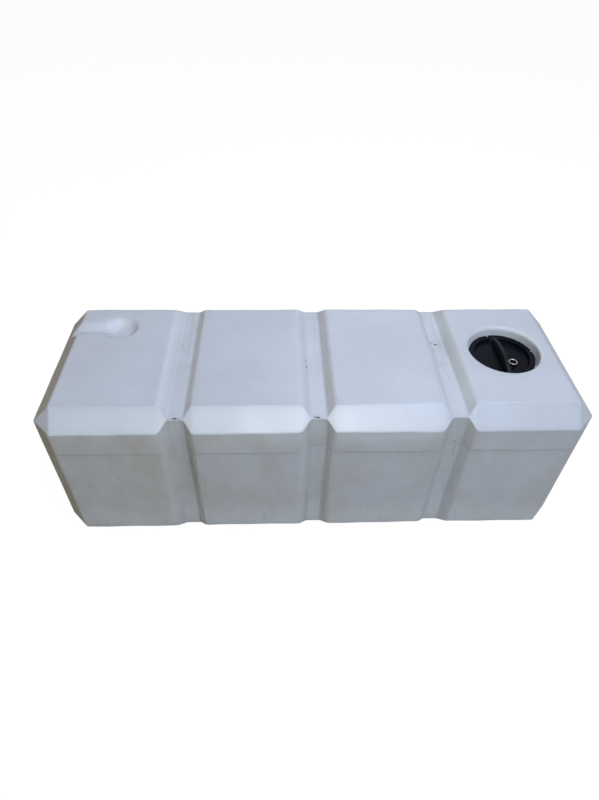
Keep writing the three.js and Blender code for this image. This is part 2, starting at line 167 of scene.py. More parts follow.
class Graph:
    """The shader nodes of a material or of the world, put together one by one."""

    def __init__(self, owner):
        owner.use_nodes = True
        self.owner, self.tree = owner, owner.node_tree
        self.tree.nodes.clear()

    def node(self, kind, settings=None, sockets=None, out=None):
        """Adds a node and gives its first output, or the one that is named."""
        made = self.tree.nodes.new("ShaderNode" + kind)
        for key, value in (settings or {}).items():
            setattr(made, key, value)
        usable = [s for s in made.inputs if s.enabled]
        for key, value in (sockets or {}).items():
            socket = usable[key if isinstance(key, int) else [s.name for s in usable].index(key)]
            if isinstance(value, Wire):
                self.tree.links.new(value.socket, socket)
                continue
            if hasattr(socket.default_value, "__len__") and len(value) < len(socket.default_value):
                value = (*value, 1)
            socket.default_value = value
        results = [s for s in made.outputs if s.enabled]
        if not results:
            return None
        return Wire(self, made.outputs[out] if out else results[0])

    def vector(self, operation, *values):
        return self.node("VectorMath", dict(operation=operation), dict(enumerate(values)))

    def place(self):
        """Where a point lies on the piece, in metres."""
        return self.node("TexCoord", out="Object")

    def height(self):
        return self.node("SeparateXYZ", {}, {0: self.place()}, "Z")

    def noise(self, scale, detail=3.0, roughness=0.5, stretch=(1, 1, 1)):
        where = self.node("Mapping", {}, {"Vector": self.place(), "Scale": stretch})
        sockets = {"Vector": where, "Scale": scale, "Detail": detail, "Roughness": roughness}
        return self.node("TexNoise", {}, sockets)

    def scatter(self, scale):
        """A noise that differs along each axis, about zero."""
        sockets = {"Vector": self.place(), "Scale": scale, "Detail": 2.0}
        return self.vector("SUBTRACT", self.node("TexNoise", {}, sockets, "Color"), (0.5, 0.5, 0.5))

    def mask(self, name):
        """A share that comes with the mesh, point by point."""
        return self.node("Attribute", dict(attribute_name=name), out="Fac")

    def layered(self, colour, *layers):
        """A colour with others laid over it, each by a share of its own."""
        for share, tone in layers:
            sockets = {"Factor": share, "A": colour, "B": tone}
            colour = self.node("Mix", dict(data_type="RGBA"), sockets)
        return colour

    def bump(self, height, strength, distance):
        sockets = {"Strength": strength, "Distance": distance, "Height": height}
        return self.node("Bump", {}, sockets)

    def done(self, **sockets):
        """Closes a material's graph with its shader, and gives the material."""
        values = {key.replace("_", " "): value for key, value in sockets.items()}
        shader = self.node("BsdfPrincipled", {}, values)
        self.node("OutputMaterial", {}, {"Surface": shader})
        return self.owner


# %% [markdown]
# ## The room
# The object stands on a plain pale floor against white. The white has to be
# there for the eye and for reflections, but it must not light the tank, or its
# pale skin would burn out. So the world is white only for camera, glossy and
# transmission rays, and dimmer for the soft light that it gives. The floor does
# the same, but glossy rays see less of its glow, because the ends of the tank
# are seen at a glancing angle and would mirror it. Five soft lamps shape the
# tank: a broad cool one above it to the right, one in front, one behind, a
# smaller and bluer one at the right, as from a window, and a weak warm one low
# down at the left, as from light off a wall.

# %% World and floor
SKY_LIGHT = (0.15, 0.15, 0.15)
FLOOR_TONE = (0.36, 0.33, 0.30)
WHITE = (1, 1, 1)
FLOOR_GLOW, GLOW_SHARE, GLOSSY_SHARE = 1.37, 0.7, 0.25


def sees_white(graph, glossy):
    """A share that is high for the rays that see white instead of light."""
    seen = graph.node("LightPath", out="Is Camera Ray")
    seen = seen.either(graph.node("LightPath", out="Is Transmission Ray"))
    return seen.either(graph.node("LightPath", out="Is Glossy Ray") * glossy)


world = bpy.data.worlds.new("white room")
bpy.context.scene.world = world
room = Graph(world)
lighting = room.node("Background", {}, {"Color": SKY_LIGHT})
backdrop = room.node("Background", {}, {"Color": WHITE})
shown = room.node("MixShader", {}, {0: sees_white(room, 1.0), 1: lighting, 2: backdrop})
room.node("OutputWorld", {}, {"Surface": shown})

paper = Graph(bpy.data.materials.new("floor_paper"))
pale = paper.node("BsdfDiffuse", {}, {"Color": FLOOR_TONE})
glow = paper.node("Emission", {}, {"Color": WHITE, "Strength": FLOOR_GLOW})
glow_share = sees_white(paper, GLOSSY_SHARE) * GLOW_SHARE
shown = paper.node("MixShader", {}, {0: glow_share, 1: pale, 2: glow})
paper.node("OutputMaterial", {}, {"Surface": shown})


def mesh_object(name, points, faces, unit=MM):
    """A new mesh object from a list of points, in that unit, and of faces."""
    mesh = bpy.data.meshes.new(name)
    mesh.from_pydata([[c * unit for c in p] for p in points], [], faces)
    return add_object(name, mesh)


def floor_sheet(reach, step):
    """A broad floor of square patches, sized in metres."""
    line = np.arange(-reach, reach + step / 2, step)
    points = [(x, y, 0) for y in line for x in line]
    wide = len(line)
    corners = [j * wide + i for j in range(wide - 1) for i in range(wide - 1)]
    faces = [(c, c + 1, c + wide + 1, c + wide) for c in corners]
    return mesh_object("floor", points, faces, 1)


floor = floor_sheet(12.0, 2.0)
floor.data.materials.append(paper.owner)
print("floor:", len(floor.data.polygons), "patches")

# %% Lamps
MIDDLE = Vector((0.0, 0.0, 0.3))


def lamp(name, at, size, power, colour):
    """A square soft lamp at a point, aimed at the tank's middle."""
    data = bpy.data.lights.new(name, "AREA")
    data.shape, data.size, data.energy, data.color = "SQUARE", size, power, colour
    made = add_object(name, data)
    made.location = at
    made.rotation_euler = (MIDDLE - Vector(at)).to_track_quat("-Z", "Y").to_euler()


lamp("lamp_above", (1.3, 0.2, 4.1), 1.8, 66, (0.83, 0.89, 1.0))
lamp("lamp_back", (0.8, 2.9, 3.2), 1.8, 15, (0.70, 0.84, 1.0))
lamp("lamp_front", (0.25, -3.2, 2.8), 1.5, 59, (0.93, 1.0, 0.98))
lamp("lamp_right", (1.3, -2.4, 3.7), 0.9, 36, (0.42, 0.56, 1.0))
lamp("lamp_left", (-3.1, -0.4, 1.7), 1.4, 6, (1.0, 0.72, 0.55))

bpy.context.scene.view_settings.view_transform = "Standard"

# %% [markdown]
# ## Finish of the shell
# Natural polyethylene is milky, not painted white: its skin is satin, and light sinks a little way
# in. The groove slopes, the well's wall, the part of its lip that faces left, and bands along the
# long sides are painted paler: painted light where those faces would otherwise stand in shade. The
# upright sides take an olive tint that grows towards the left, and the groove slopes on the top
# take some too. The left end carries brown dust with painted shade. The grooves carry grime with
# painted shade in their creases and on their floors, and dark streaks. There is fine rubbing on the
# flats and a few dark marks. Each of these is a mask. Masks that follow the shape come with the
# mesh, and noise breaks them up. The masks then set the colour, the roughness and a shallow bump.

# %% Tones and marks of the shell
SKIN = (0.57, 0.60, 0.655)
SKIN_SHADE = (0.52, 0.545, 0.59)
# A pale tone that paints light onto the slopes, the well and bands of the sides
SKIN_PALE_LIT = (0.76, 0.80, 0.83)
SKIN_DULL = (0.47, 0.475, 0.47)
OLIVE = (0.46, 0.44, 0.385)
# Brown dust with painted shade, for the left end
END_DUST_AND_SHADE = (0.36, 0.335, 0.28)
# Dust, with painted shade in the grooves' creases and on their floors
DUST_AND_SHADE = (0.25, 0.25, 0.19)
RUB = (0.33, 0.33, 0.31)
SEAM_DIRT = (0.10, 0.10, 0.065)
SPECK = (0.03, 0.028, 0.02)
# The mould's halves met at this height, in millimetres
WITNESS_Z = 399.0
# Each mark: its middle and its half sizes along x, y and z, in millimetres, and its strength
MARKS = [
    ((-380, -238, 504), (7, 4, 4), 1),
    ((-371, -238, 504), (3, 3, 3), 1),
    ((-3, -238, 504), (8, 4, 4), 0.9),
    ((-12, -236, 504), (4, 3, 4), 0.8),
    ((374, 68, 504), (7, 5, 4), 1),
    ((363, 75, 505), (5, 2, 4), 0.8),
    ((382, -243, 408), (3, 4, 4), 1),
    ((-27, -16, 510), (2, 6, 9), 0.7),
    ((-24, -38, 506), (3, 9, 6), 0.7),
    ((35, 45, 525), (2, 11, 9), 0.3),
    ((-318, -270, 270), (3, 4, 8), 0.35),
    ((-358, -250, 400), (1.3, 9, 34), 0.5),
    ((-352, -254, 350), (1.2, 9, 46), 0.6),
    ((-345, -259, 262), (1.2, 9, 52), 0.5),
    ((388, -243, 372), (1.2, 4, 30), 0.5),
    ((96, -270, 205), (9, 4, 2), 0.3),
    ((-560, -270, 300), (5, 4, 11), 0.25),
]
print("marks:", len(MARKS))


# %% Natural polyethylene
def marks_of(skin, where):
    """A share that is high inside the marks."""
    total = 0.0
    for middle, half, strength in MARKS:
        away = skin.vector("SUBTRACT", where, [c * MM for c in middle])
        away = skin.vector("DIVIDE", away, [c * MM for c in half])
        total = skin.vector("LENGTH", away).ramp(1.0, 0.55, 0.0, strength) + total
    return total


def natural_plastic():
    skin = Graph(bpy.data.materials.new("natural_polyethylene"))
    upright, slope, end = skin.mask("upright"), skin.mask("slope"), skin.mask("end")
    # Slow changes of tone
    mottle = skin.noise(5.0, 4.0, 0.55).ramp(0.35, 0.68)
    patches = skin.noise(9.0, 5.0, 0.62, (1.0, 1.0, 0.7)).ramp(0.36, 0.7)
    # Grime and painted shade in clouds and in fine lines, which run down the sides and across the
    # top
    fine_up = skin.noise(150.0, 4.0, 0.6, (1.0, 1.0, 0.05)).ramp(0.5, 0.74)
    fine_over = skin.noise(150.0, 4.0, 0.6, (1.0, 0.05, 1.0)).ramp(0.5, 0.74)
    fine = fine_up * upright + fine_over * (1.0 - upright)
    cloud = skin.noise(11.0, 5.0, 0.6, (1.0, 1.0, 0.35)).ramp(0.38, 0.72)
    grime_and_shade = skin.mask("grime_and_shade") * (fine * 0.8 + cloud * 0.5)
    streaks = skin.noise(150.0, 5.0, 0.7, (1.0, 1.0, 0.02)).ramp(0.47, 0.56)
    streaks = skin.mask("streak") * streaks
    # Rubbed places, and scuffs along the tank
    rubbed = skin.mask("rub") * skin.noise(55.0, 5.0, 0.7, (1.0, 1.0, 0.2)).ramp(0.56, 0.74)
    scuffs = skin.noise(70.0, 3.0, 0.6, (0.1, 1.0, 1.0)).ramp(0.62, 0.7)
    scuffs = scuffs * skin.noise(6.0, 3.0, 0.6).ramp(0.54, 0.66) * skin.mask("rub")
    # Marks with ragged edges
    shift = skin.vector("SCALE", skin.scatter(260.0), 0.006)
    marks = marks_of(skin, skin.vector("ADD", skin.place(), shift))
    marks = marks * skin.noise(260.0, 3.0, 0.6).ramp(0.3, 0.5)
    # The mould's witness line, which dirt shows in places
    seam = (skin.height() - WITNESS_Z * MM).size().ramp(0.0012, 0.0004)
    seam = seam * upright * (1.0 - slope)
    seam = seam * skin.noise(3.0, 3.0, 0.6, (1.0, 1.0, 0.0)).ramp(0.4, 0.6, 0.15, 0.65)
    colour = skin.layered(
        SKIN,
        (mottle * 0.7, SKIN_SHADE),
        (patches * upright * 0.5, SKIN_DULL),
        # Painted light: the slope mask makes the slopes, the well and bands of the sides paler
        (slope, SKIN_PALE_LIT),
        (skin.mask("warm") * (0.5 + patches * 0.5), OLIVE),
        # The left end: brown dust with painted shade
        (end, END_DUST_AND_SHADE),
        (grime_and_shade, DUST_AND_SHADE),
        (rubbed * 0.3 + scuffs * 0.5, RUB),
        (seam + streaks * 0.8, SEAM_DIRT),
        (marks, SPECK),
    )
    height = skin.noise(420.0, 2.0) * 0.2 + skin.noise(30.0) * 1.4 - marks * 0.6
    roughness = 0.285 + mottle * 0.05 + grime_and_shade * 0.3 + rubbed * 0.2 + upright * 0.15 + end * 0.3
    return skin.done(
        Base_Color=colour,
        Roughness=roughness,
        Normal=skin.bump(height, 0.25, 0.0006),
        IOR=1.49,
        Subsurface_Weight=0.25,
        Subsurface_Radius=(1.0, 0.95, 0.85),
        Subsurface_Scale=0.012,
    )


# %% [markdown]
# ## Black polypropylene, rubber and metals
# The lid is black moulded polypropylene with a soft sheen, a fine grain, dust in its corners and a
# worn grip bar, which is painted paler, most of all on its left face: painted light where that face
# stands in shade. The rubber is matt. The breather is plated and a little dulled, with soot inside
# that also paints the shade of its bore; the gauze is plain steel wire, darkened the same way, and
# the outlet insert is turned brass.


# %% Small finishes
BLACK, BLACK_CLOUD = (0.003, 0.0037, 0.007), (0.005, 0.006, 0.011)
# The worn tone also paints light on the grip bar's shaded left face
PALE_DUST, WORN_AND_LIT_BLACK = (0.12, 0.12, 0.12), (0.03, 0.031, 0.038)
RUBBER, RUBBER_CLOUD = (0.016, 0.016, 0.016), (0.03, 0.03, 0.029)
# Soot, which also paints the shade inside the breather
SOOT_AND_SHADE = (0.012, 0.012, 0.013)


def black_plastic():
    skin = Graph(bpy.data.materials.new("black_polypropylene"))
    cloud = skin.noise(30.0, 4.0, 0.6).ramp(0.35, 0.7)
    dust = skin.noise(170.0, 4.0, 0.65).ramp(0.58, 0.8)
    # Wear, and painted light on the grip bar's shaded left face
    wear_and_painted_light = skin.mask("wear_and_painted_light") * (0.6 + cloud * 0.4)
    colour = skin.layered(BLACK, (cloud, BLACK_CLOUD), (dust * 0.08, PALE_DUST), (wear_and_painted_light, WORN_AND_LIT_BLACK))
    normal = skin.bump(skin.noise(900.0, 2.0) * 0.4 + cloud, 0.2, 0.0003)
    roughness = 0.22 + cloud * 0.06 + dust * 0.2
    return skin.done(Base_Color=colour, Roughness=roughness, Normal=normal, IOR=1.12)


def rubber():
    skin = Graph(bpy.data.materials.new("black_rubber"))
    cloud = skin.noise(120.0, 4.0, 0.6).ramp(0.35, 0.7)
    colour = skin.layered(RUBBER, (cloud, RUBBER_CLOUD))
    normal = skin.bump(skin.noise(1500.0, 2.0), 0.2, 0.0002)
    return skin.done(Base_Color=colour, Roughness=0.72 + cloud * 0.12, Normal=normal)


def metal(name, colour, dull, roughness):
    skin = Graph(bpy.data.materials.new(name))
    stain = skin.noise(220.0, 4.0, 0.6).ramp(0.42, 0.72)
    # Soot and painted shade, inside the breather's bore and on its gauze
    soot_and_shade = skin.mask("soot_and_shade")
    return skin.done(
        Base_Color=skin.layered(colour, (stain * 0.6, dull), (soot_and_shade, SOOT_AND_SHADE)),
        Metallic=1.0,
        Roughness=roughness + stain * 0.2 + soot_and_shade * 0.4,
        Normal=skin.bump(skin.noise(900.0, 2.0, 0.5, (1.0, 1.0, 0.3)), 0.12, 0.0001),
    )


# Each metal: its colour, the colour of its stains, and its roughness
METALS = {
    "bright_nickel": ((0.58, 0.57, 0.55), (0.22, 0.21, 0.2), 0.2),
    "steel_gauze": ((0.42, 0.42, 0.43), (0.22, 0.21, 0.2), 0.35),
    "brass": ((0.62, 0.45, 0.2), (0.33, 0.24, 0.13), 0.28),
}
finishes = {
    "natural_polyethylene": natural_plastic(),
    "black_polypropylene": black_plastic(),
    "black_rubber": rubber(),
    **{name: metal(name, *look) for name, look in METALS.items()},
}
print("finishes:", ", ".join(finishes))


# %% Dressing a node
def dress(piece, node):
    """The piece stands for a CAD node, moves with its body and takes its finish."""
    slot = SLOT_OF[node]
    piece.data.materials.clear()
    piece.data.materials.append(finishes[slot])
    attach(piece, BODY_OF[node])
    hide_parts(node)
    print(piece.name, len(piece.data.vertices), "points,", len(piece.data.polygons), "faces")


# %% [markdown]
# ## Sizes of the shell
# The sizes are those of the CAD model, in millimetres. The skin is described
# by how far it lies in from the box, station by station along the tank. Each
# station is an eight-sided ring with soft corners. Where the skin dips into a
# groove or turns in at an end, the ring's own chamfer runs out to a sharp
# corner, and that makes the pointed chamfer tips of the real moulding.

# %% Shell sizes
LENGTH, WIDTH, HEIGHT, WALL = 1520.0, 540.0, 532.0, 6.0
CHAMFER, SHOULDER = 55.0, 10.0
GROOVES = (-380.0, 0.0, 380.0)
GROOVE_DEPTH, GROOVE_MOUTH, GROOVE_FLOOR, GROOVE_CORNER = 27.5, 88.0, 43.0, 5.0
LEFT_ROUND, RIGHT_ROUND, FLOOR_ROUND = 24.0, 16.0, 10.0
LID_X, LID_Y, SEAT_Z, RIM_Z = 565.0, 13.0, 496.9, 507.5
WELL_R, WELL_MOUTH, WELL_LIP, NECK_R, NECK_DEPTH = 103.5, 105.0, 11.0, 89.0, 26.0
RECESS_DEPTH, RECESS_RUN, RECESS_Y, RECESS_END = 30.0, 23.0, 125.0, -505.0
BULB_X, BULB_R, CHANNEL_HALF = -583.0, 52.0, 31.0
ARC_STEPS = 6
print("shell: %g x %g x %g mm, wall %g mm" % (LENGTH, WIDTH, HEIGHT, WALL))


# %% Rounding the corners of a path
def corner_arc(before, at, after, radius, steps):
    """Points of the arc that rounds a corner of a flat path."""
    before, at, after = (np.array(p, float) for p in (before, at, after))
    back = (before - at) / np.linalg.norm(before - at)
    on = (after - at) / np.linalg.norm(after - at)
    turn = math.pi - math.acos(float(np.clip(back @ on, -1, 1)))
    if radius <= 0 or turn < 1e-6:
        return [at]
    start = at + back * radius * math.tan(turn / 2)
    inward = (back + on) / np.linalg.norm(back + on)
    centre = at + inward * radius / math.cos(turn / 2)
    side = math.copysign(1, on[0] * back[1] - on[1] * back[0])
    arm = start - centre
    points = []
    for i in range(steps + 1):
        angle = side * turn * i / steps
        c, s = math.cos(angle), math.sin(angle)
        points.append(centre + np.array([c * arm[0] - s * arm[1], s * arm[0] + c * arm[1]]))
    return points


def round_path(corners, steps):
    """Rounds the inner corners of an open path of (x, y, radius), small ones in two steps."""
    points = [np.array(corners[0][:2], float)]
    for before, (x, y, radius), after in zip(corners, corners[1:], corners[2:]):
        points += corner_arc(before[:2], (x, y), after[:2], radius, steps if radius > 1 else 2)
    return points + [np.array(corners[-1][:2], float)]


# %% Lines of the shell's net
# Steps between the lines, in millimetres, and where the close ones over the recess stop
STEP, END_STEP, WELL_STEP, RECESS_STEP, BACK_STEP = 20.0, 3.0, 4.2, 3.6, 11.0
FINE_END, FINE_FRONT, FINE_BACK = -510.0, 50.0, 192.0
WELL_SQUARE = 121.0
WELL_SPOKES = 16
spokes = [
    WELL_SQUARE * math.tan(math.pi / 4 * i / WELL_SPOKES)
    for i in range(-WELL_SPOKES, WELL_SPOKES + 1)
]


def spread(start, end, spacing):
    """Even places strictly between two ends, no further apart than spacing."""
    count = max(1, math.ceil(abs(end - start) / spacing))
    return [start + (end - start) * i / count for i in range(1, count)]


def along_stations():
    """Stations (x, inset) from the left end face to the right one."""
    end, inner = LENGTH / 2, CHAMFER + 3 * SHOULDER
    corners = [(-end, inner, 0), (-end, CHAMFER, SHOULDER), (CHAMFER - end, 0, SHOULDER)]
    for middle in GROOVES:
        corners += [
            (middle - GROOVE_MOUTH / 2, 0, LEFT_ROUND),
            (middle - GROOVE_FLOOR / 2, GROOVE_DEPTH, FLOOR_ROUND),
            (middle + GROOVE_FLOOR / 2, GROOVE_DEPTH, FLOOR_ROUND),
            (middle + GROOVE_MOUTH / 2, 0, RIGHT_ROUND),
        ]
    corners += [(end - CHAMFER, 0, SHOULDER), (end, CHAMFER, SHOULDER), (end, inner, 0)]
    path = round_path(corners, ARC_STEPS)[1:-1]
    well = [LID_X + s for s in spokes]
    stations = [path[0]]
    for here, there in zip(path, path[1:]):
        low, high = here[0], there[0]
        if low < FINE_END < high:
            places = spread(low, FINE_END, END_STEP) + [FINE_END] + spread(FINE_END, high, STEP)
        elif low < LID_X < high:
            places = spread(low, well[0], STEP) + well + spread(well[-1], high, STEP)
        elif high - low > 12:
            places = spread(low, high, END_STEP if high < FINE_END else STEP)
        else:
            places = []
        stations += [here + (there - here) * (x - low) / (high - low) for x in places]
        stations.append(there)
    return stations


def top_shares():
    """Places across the top flat, as shares of its half width."""
    half = WIDTH / 2 - CHAMFER - SHOULDER * math.tan(math.pi / 8)
    lines = [LID_Y + s for s in spokes]
    fine = []
    for low, high in zip(lines, lines[1:]):
        if low > FINE_FRONT:
            fine += spread(low, high, WELL_STEP)
    fine += spread(lines[-1], FINE_BACK, RECESS_STEP) + [FINE_BACK]
    fine += spread(FINE_BACK, half, BACK_STEP)
    lines += fine + spread(-half, lines[0], STEP)
    return [y / half for y in sorted(lines)]


def level_shares():
    """Places up a side flat, as shares of its half height, close at the witness line."""
    half = HEIGHT / 2 - CHAMFER - SHOULDER * math.tan(math.pi / 8)
    close = [WITNESS_Z - HEIGHT / 2 + off for off in (-1.4, -0.5, 0.5, 1.4)]
    levels = spread(-half, close[0], STEP) + close + spread(close[-1], half, STEP)
    return [z / half for z in levels]


stations = along_stations()
across, levels = top_shares(), level_shares()
print("net:", len(stations), "stations,", len(across), "lines across,", len(levels), "up a side")


# %% [markdown]
# ## The hose recess
# Over the left end runs a soft channel that opens into a round bulb, so that a
# hose can lie below the top. A boolean cut would leave a hard edge along a lip
# that is soft on the real tank. The top is a height at every point there, so
# the recess is worked out as a second height, and a smooth minimum of the two
# rounds the lip and lets the channel run out through the end's chamfer.


# %% Recess as a height
# How far the channel blends into the bulb, the slope into the floor, and the lip into the top
BULB_BLEND, FOOT_BLEND, LIP_BLEND = 22.0, 14.0, 9.0


def soft_min(a, b, reach):
    """The lower of two values, which blend where they differ by less than reach."""
    share = np.clip(reach - np.abs(a - b), 0, None) / reach
    return np.minimum(a, b) - share * share * reach / 4


def recess_height(x, y):
    """Height of the recess's own surface above a place on the top."""
    channel = np.maximum(np.abs(y - RECESS_Y) - CHANNEL_HALF, x - BULB_X)
    bulb = np.hypot(x - BULB_X, y - RECESS_Y) - BULB_R
    outside = soft_min(channel, bulb, BULB_BLEND)
    slope = HEIGHT + outside * RECESS_DEPTH / RECESS_RUN
    return -soft_min(-slope, RECESS_DEPTH - HEIGHT, FOOT_BLEND)


middle_height = recess_height(np.array([BULB_X]), np.array([RECESS_Y]))[0]
print("recess: %.1f mm deep" % (HEIGHT - middle_height))

# %% [markdown]
# ## Building the shell
# The net of rings and lines gives square faces that bend evenly. It is left
# open round the lid and at the outlet. The well, its lip, the threaded neck
# and the outlet are turned shapes, so each is a stack of circles joined to the
# edge of its opening. At last the skin gets its real wall of six millimetres.


# %% Rings
def ring_points(x, inset, chamfer):
    """One ring, which starts at the foot of the back flat and goes up it."""
    half_y, half_z = WIDTH / 2 - inset, HEIGHT / 2 - inset
    outline = [
        (half_y, chamfer - half_z), (half_y, half_z - chamfer),
        (half_y - chamfer, half_z), (chamfer - half_y, half_z),
        (-half_y, half_z - chamfer), (-half_y, chamfer - half_z),
        (chamfer - half_y, -half_z), (half_y - chamfer, -half_z),
    ]
    radius = min(SHOULDER, 0.9 * chamfer / (2 - math.sqrt(2)))
    arcs = [
        corner_arc(outline[i - 1], outline[i], outline[(i + 1) % 8], radius, ARC_STEPS)
        for i in range(8)
    ]
    up = [(1 + s) / 2 for s in levels]
    over = [(1 - s) / 2 for s in reversed(across)]
    down, back = ([1 - s for s in reversed(way)] for way in (up, over))
    slant = [0.25, 0.5, 0.75]
    points = []
    for i, shares in enumerate((up, slant, over, slant, down, slant, back, slant)):
        start, stop = arcs[i][-1], arcs[(i + 1) % 8][0]
        points += arcs[i] + [start + (stop - start) * share for share in shares]
    return [(x, p[0], p[1] + HEIGHT / 2) for p in points]


def chamfer_at(x, inset):
    """The ring's chamfer, which runs out as the skin dips, and wavers a little."""
    ends = abs(x) > GROOVES[-1] + GROOVE_MOUTH / 2 + SHOULDER
    share = np.clip(inset / (CHAMFER if ends else GROOVE_DEPTH), 0, 1)
    sharp = GROOVE_CORNER * (2 - math.sqrt(2))
    waver = 1 + 0.026 * math.sin(x / 61) * math.cos(x / 37 + 1)
    return (CHAMFER + (sharp - CHAMFER) * share) * waver


net = np.array([ring_points(x, inset, chamfer_at(x, inset)) for x, inset in stations])
around = net.shape[1]
lowered = soft_min(net[..., 2], recess_height(net[..., 0], net[..., 1]), LIP_BLEND)
net[..., 2] = np.where(net[..., 0] < RECESS_END, lowered, net[..., 2])
print("ring of", around, "points")


# %% Turned openings
class Skin:
    """Points and faces of a mesh that grows piece by piece."""

    def __init__(self, points, faces):
        self.points, self.faces = list(points), list(faces)

    def add_loop(self, points):
        first = len(self.points)
        self.points += [tuple(p) for p in points]
        return list(range(first, len(self.points)))

    def bridge(self, one, two):
        for i in range(len(one)):
            j = (i + 1) % len(one)
            self.faces.append((one[i], one[j], two[j], two[i]))


def thread_rows(radius, low, high, pitch, depth, row):
    """Rows of a screw thread, from the bottom up: (radius, height, depth of cut there)."""
    rows = max(2, round((high - low) / row))
    out = []
    for i in range(rows, -1, -1):
        z = high - (high - low) * i / rows
        fade = min(1.0, (high - z) / (0.6 * pitch), (z - low) / (0.6 * pitch))
        out.append((radius, z, depth * max(0.0, fade)))
    return out


def thread_cut(z, angle, pitch):
    """How far into the cut a place on a right-hand screw is, from 0 to 1, with flat crests."""
    phase = (z / pitch - angle / (2 * math.pi)) % 1.0
    return float(np.clip(1.35 * math.sin(math.pi * phase) ** 2 - 0.2, 0, 1))


# %% Well and neck
NECK_PITCH, NECK_CUT, NECK_ROW, NECK_EDGE = 6.0, 1.3, 0.8, 1.2
NECK_END = SEAT_Z - NECK_DEPTH
mouth = round_path([
    (WELL_MOUTH + 16, HEIGHT, 0), (WELL_MOUTH, HEIGHT, WELL_LIP), (WELL_R, SEAT_Z, 2.5),
    (NECK_R + NECK_EDGE, SEAT_Z, 0.8), (NECK_R, SEAT_Z - NECK_EDGE, 0), (NECK_R, SEAT_Z - 2, 0),
], ARC_STEPS)
well_rows = [(r, z, 0) for r, z in mouth[1:]]
well_rows += thread_rows(NECK_R, NECK_END + 1, SEAT_Z - 2, NECK_PITCH, NECK_CUT, NECK_ROW)[-2::-1]
well_rows.append((NECK_R, NECK_END, 0))
print("well and neck:", len(well_rows), "rows")


# %% Opening round the lid
def on_net(station, column):
    """The number of a point of the net. The columns go round."""
    return station * around + column % around


def station_near(x):
    return int(np.argmin(np.abs(net[:, 0, 0] - x)))


first, last = station_near(LID_X - WELL_SQUARE), station_near(LID_X + WELL_SQUARE)
on_top = net[first, :, 2] > HEIGHT - 0.01
by_lid = np.abs(net[first, :, 1] - LID_Y) <= WELL_SQUARE + 0.01
columns = np.flatnonzero(on_top & by_lid)
left, right = int(columns.min()), int(columns.max())
faces = [
    (on_net(s, c), on_net(s, c + 1), on_net(s + 1, c + 1), on_net(s + 1, c))
    for s in range(len(stations) - 1)
    for c in range(around)
    if not (first <= s < last and left <= c < right)
]
shell = Skin(net.reshape(-1, 3), faces)
print("opening:", last - first, "by", right - left, "squares")

# %% Sinking the well
edge = [on_net(first, c) for c in range(left, right)]
edge += [on_net(s, right) for s in range(first, last)]
edge += [on_net(last, c) for c in range(right, left, -1)]
edge += [on_net(s, left) for s in range(last, first, -1)]
edge_points = np.array([shell.points[i] for i in edge])
angles = np.arctan2(edge_points[:, 1] - LID_Y, edge_points[:, 0] - LID_X)


def round_lid(radii, z):
    """A loop of points about the lid's middle, one at each angle of the edge."""
    return [
        (LID_X + r * math.cos(a), LID_Y + r * math.sin(a), z)
        for r, a in zip(radii, angles)
    ]


rim = round_lid([well_rows[0][0]] * len(angles), HEIGHT)
halfway = [((p[0] + q[0]) / 2, (p[1] + q[1]) / 2, HEIGHT) for p, q in zip(edge_points, rim)]
loop = shell.add_loop(halfway)
shell.bridge(edge, loop)
for r, z, cut in well_rows:
    circle = shell.add_loop(round_lid([r + cut * thread_cut(z, a, NECK_PITCH) for a in angles], z))
    shell.bridge(loop, circle)
    loop = circle
print("well:", len(angles), "points round,", len(well_rows), "rows deep")

# %% [markdown]
# ## The end faces
# An end face is flat, with the outlet's round recess in one of them. A fan of
# long thin triangles would show as streaks, so extra points are strewn over
# the face and joined by a Delaunay triangulation, which keeps its triangles
# near to equal sides.

# %% End faces
OUTLET_Z = (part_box("outlet_insert")[0].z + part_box("outlet_insert")[1].z) / 2 / MM
OUTLET_SIDES, OUTLET_EDGE, OUTLET_DEPTH = 96, 66.0, 24.0
INSERT_R, INSERT_BORE, INSERT_LENGTH = 23.3, 15.2, 26.3
STREWN_STEP, STREWN_REACH, STREWN_LOW, STREWN_HIGH = 20, 191, 76, 462
outlet_rows = round_path([
    (OUTLET_EDGE, 0, 0), (48, 0, 5), (42, OUTLET_DEPTH, 5), (INSERT_R, OUTLET_DEPTH, 0),
], ARC_STEPS)[1:]
# The plastic goes on round the brass insert: radius, and how far in from the recess's floor
outlet_rows += [(r, OUTLET_DEPTH + deeper) for r, deeper in (
    (INSERT_R, 8.5), (20.3, 9.8), (20.3, 16.2), (INSERT_R, 17.5), (INSERT_R, INSERT_LENGTH),
    (INSERT_BORE + 0.3, INSERT_LENGTH), (INSERT_BORE, INSERT_LENGTH + WALL),
)]


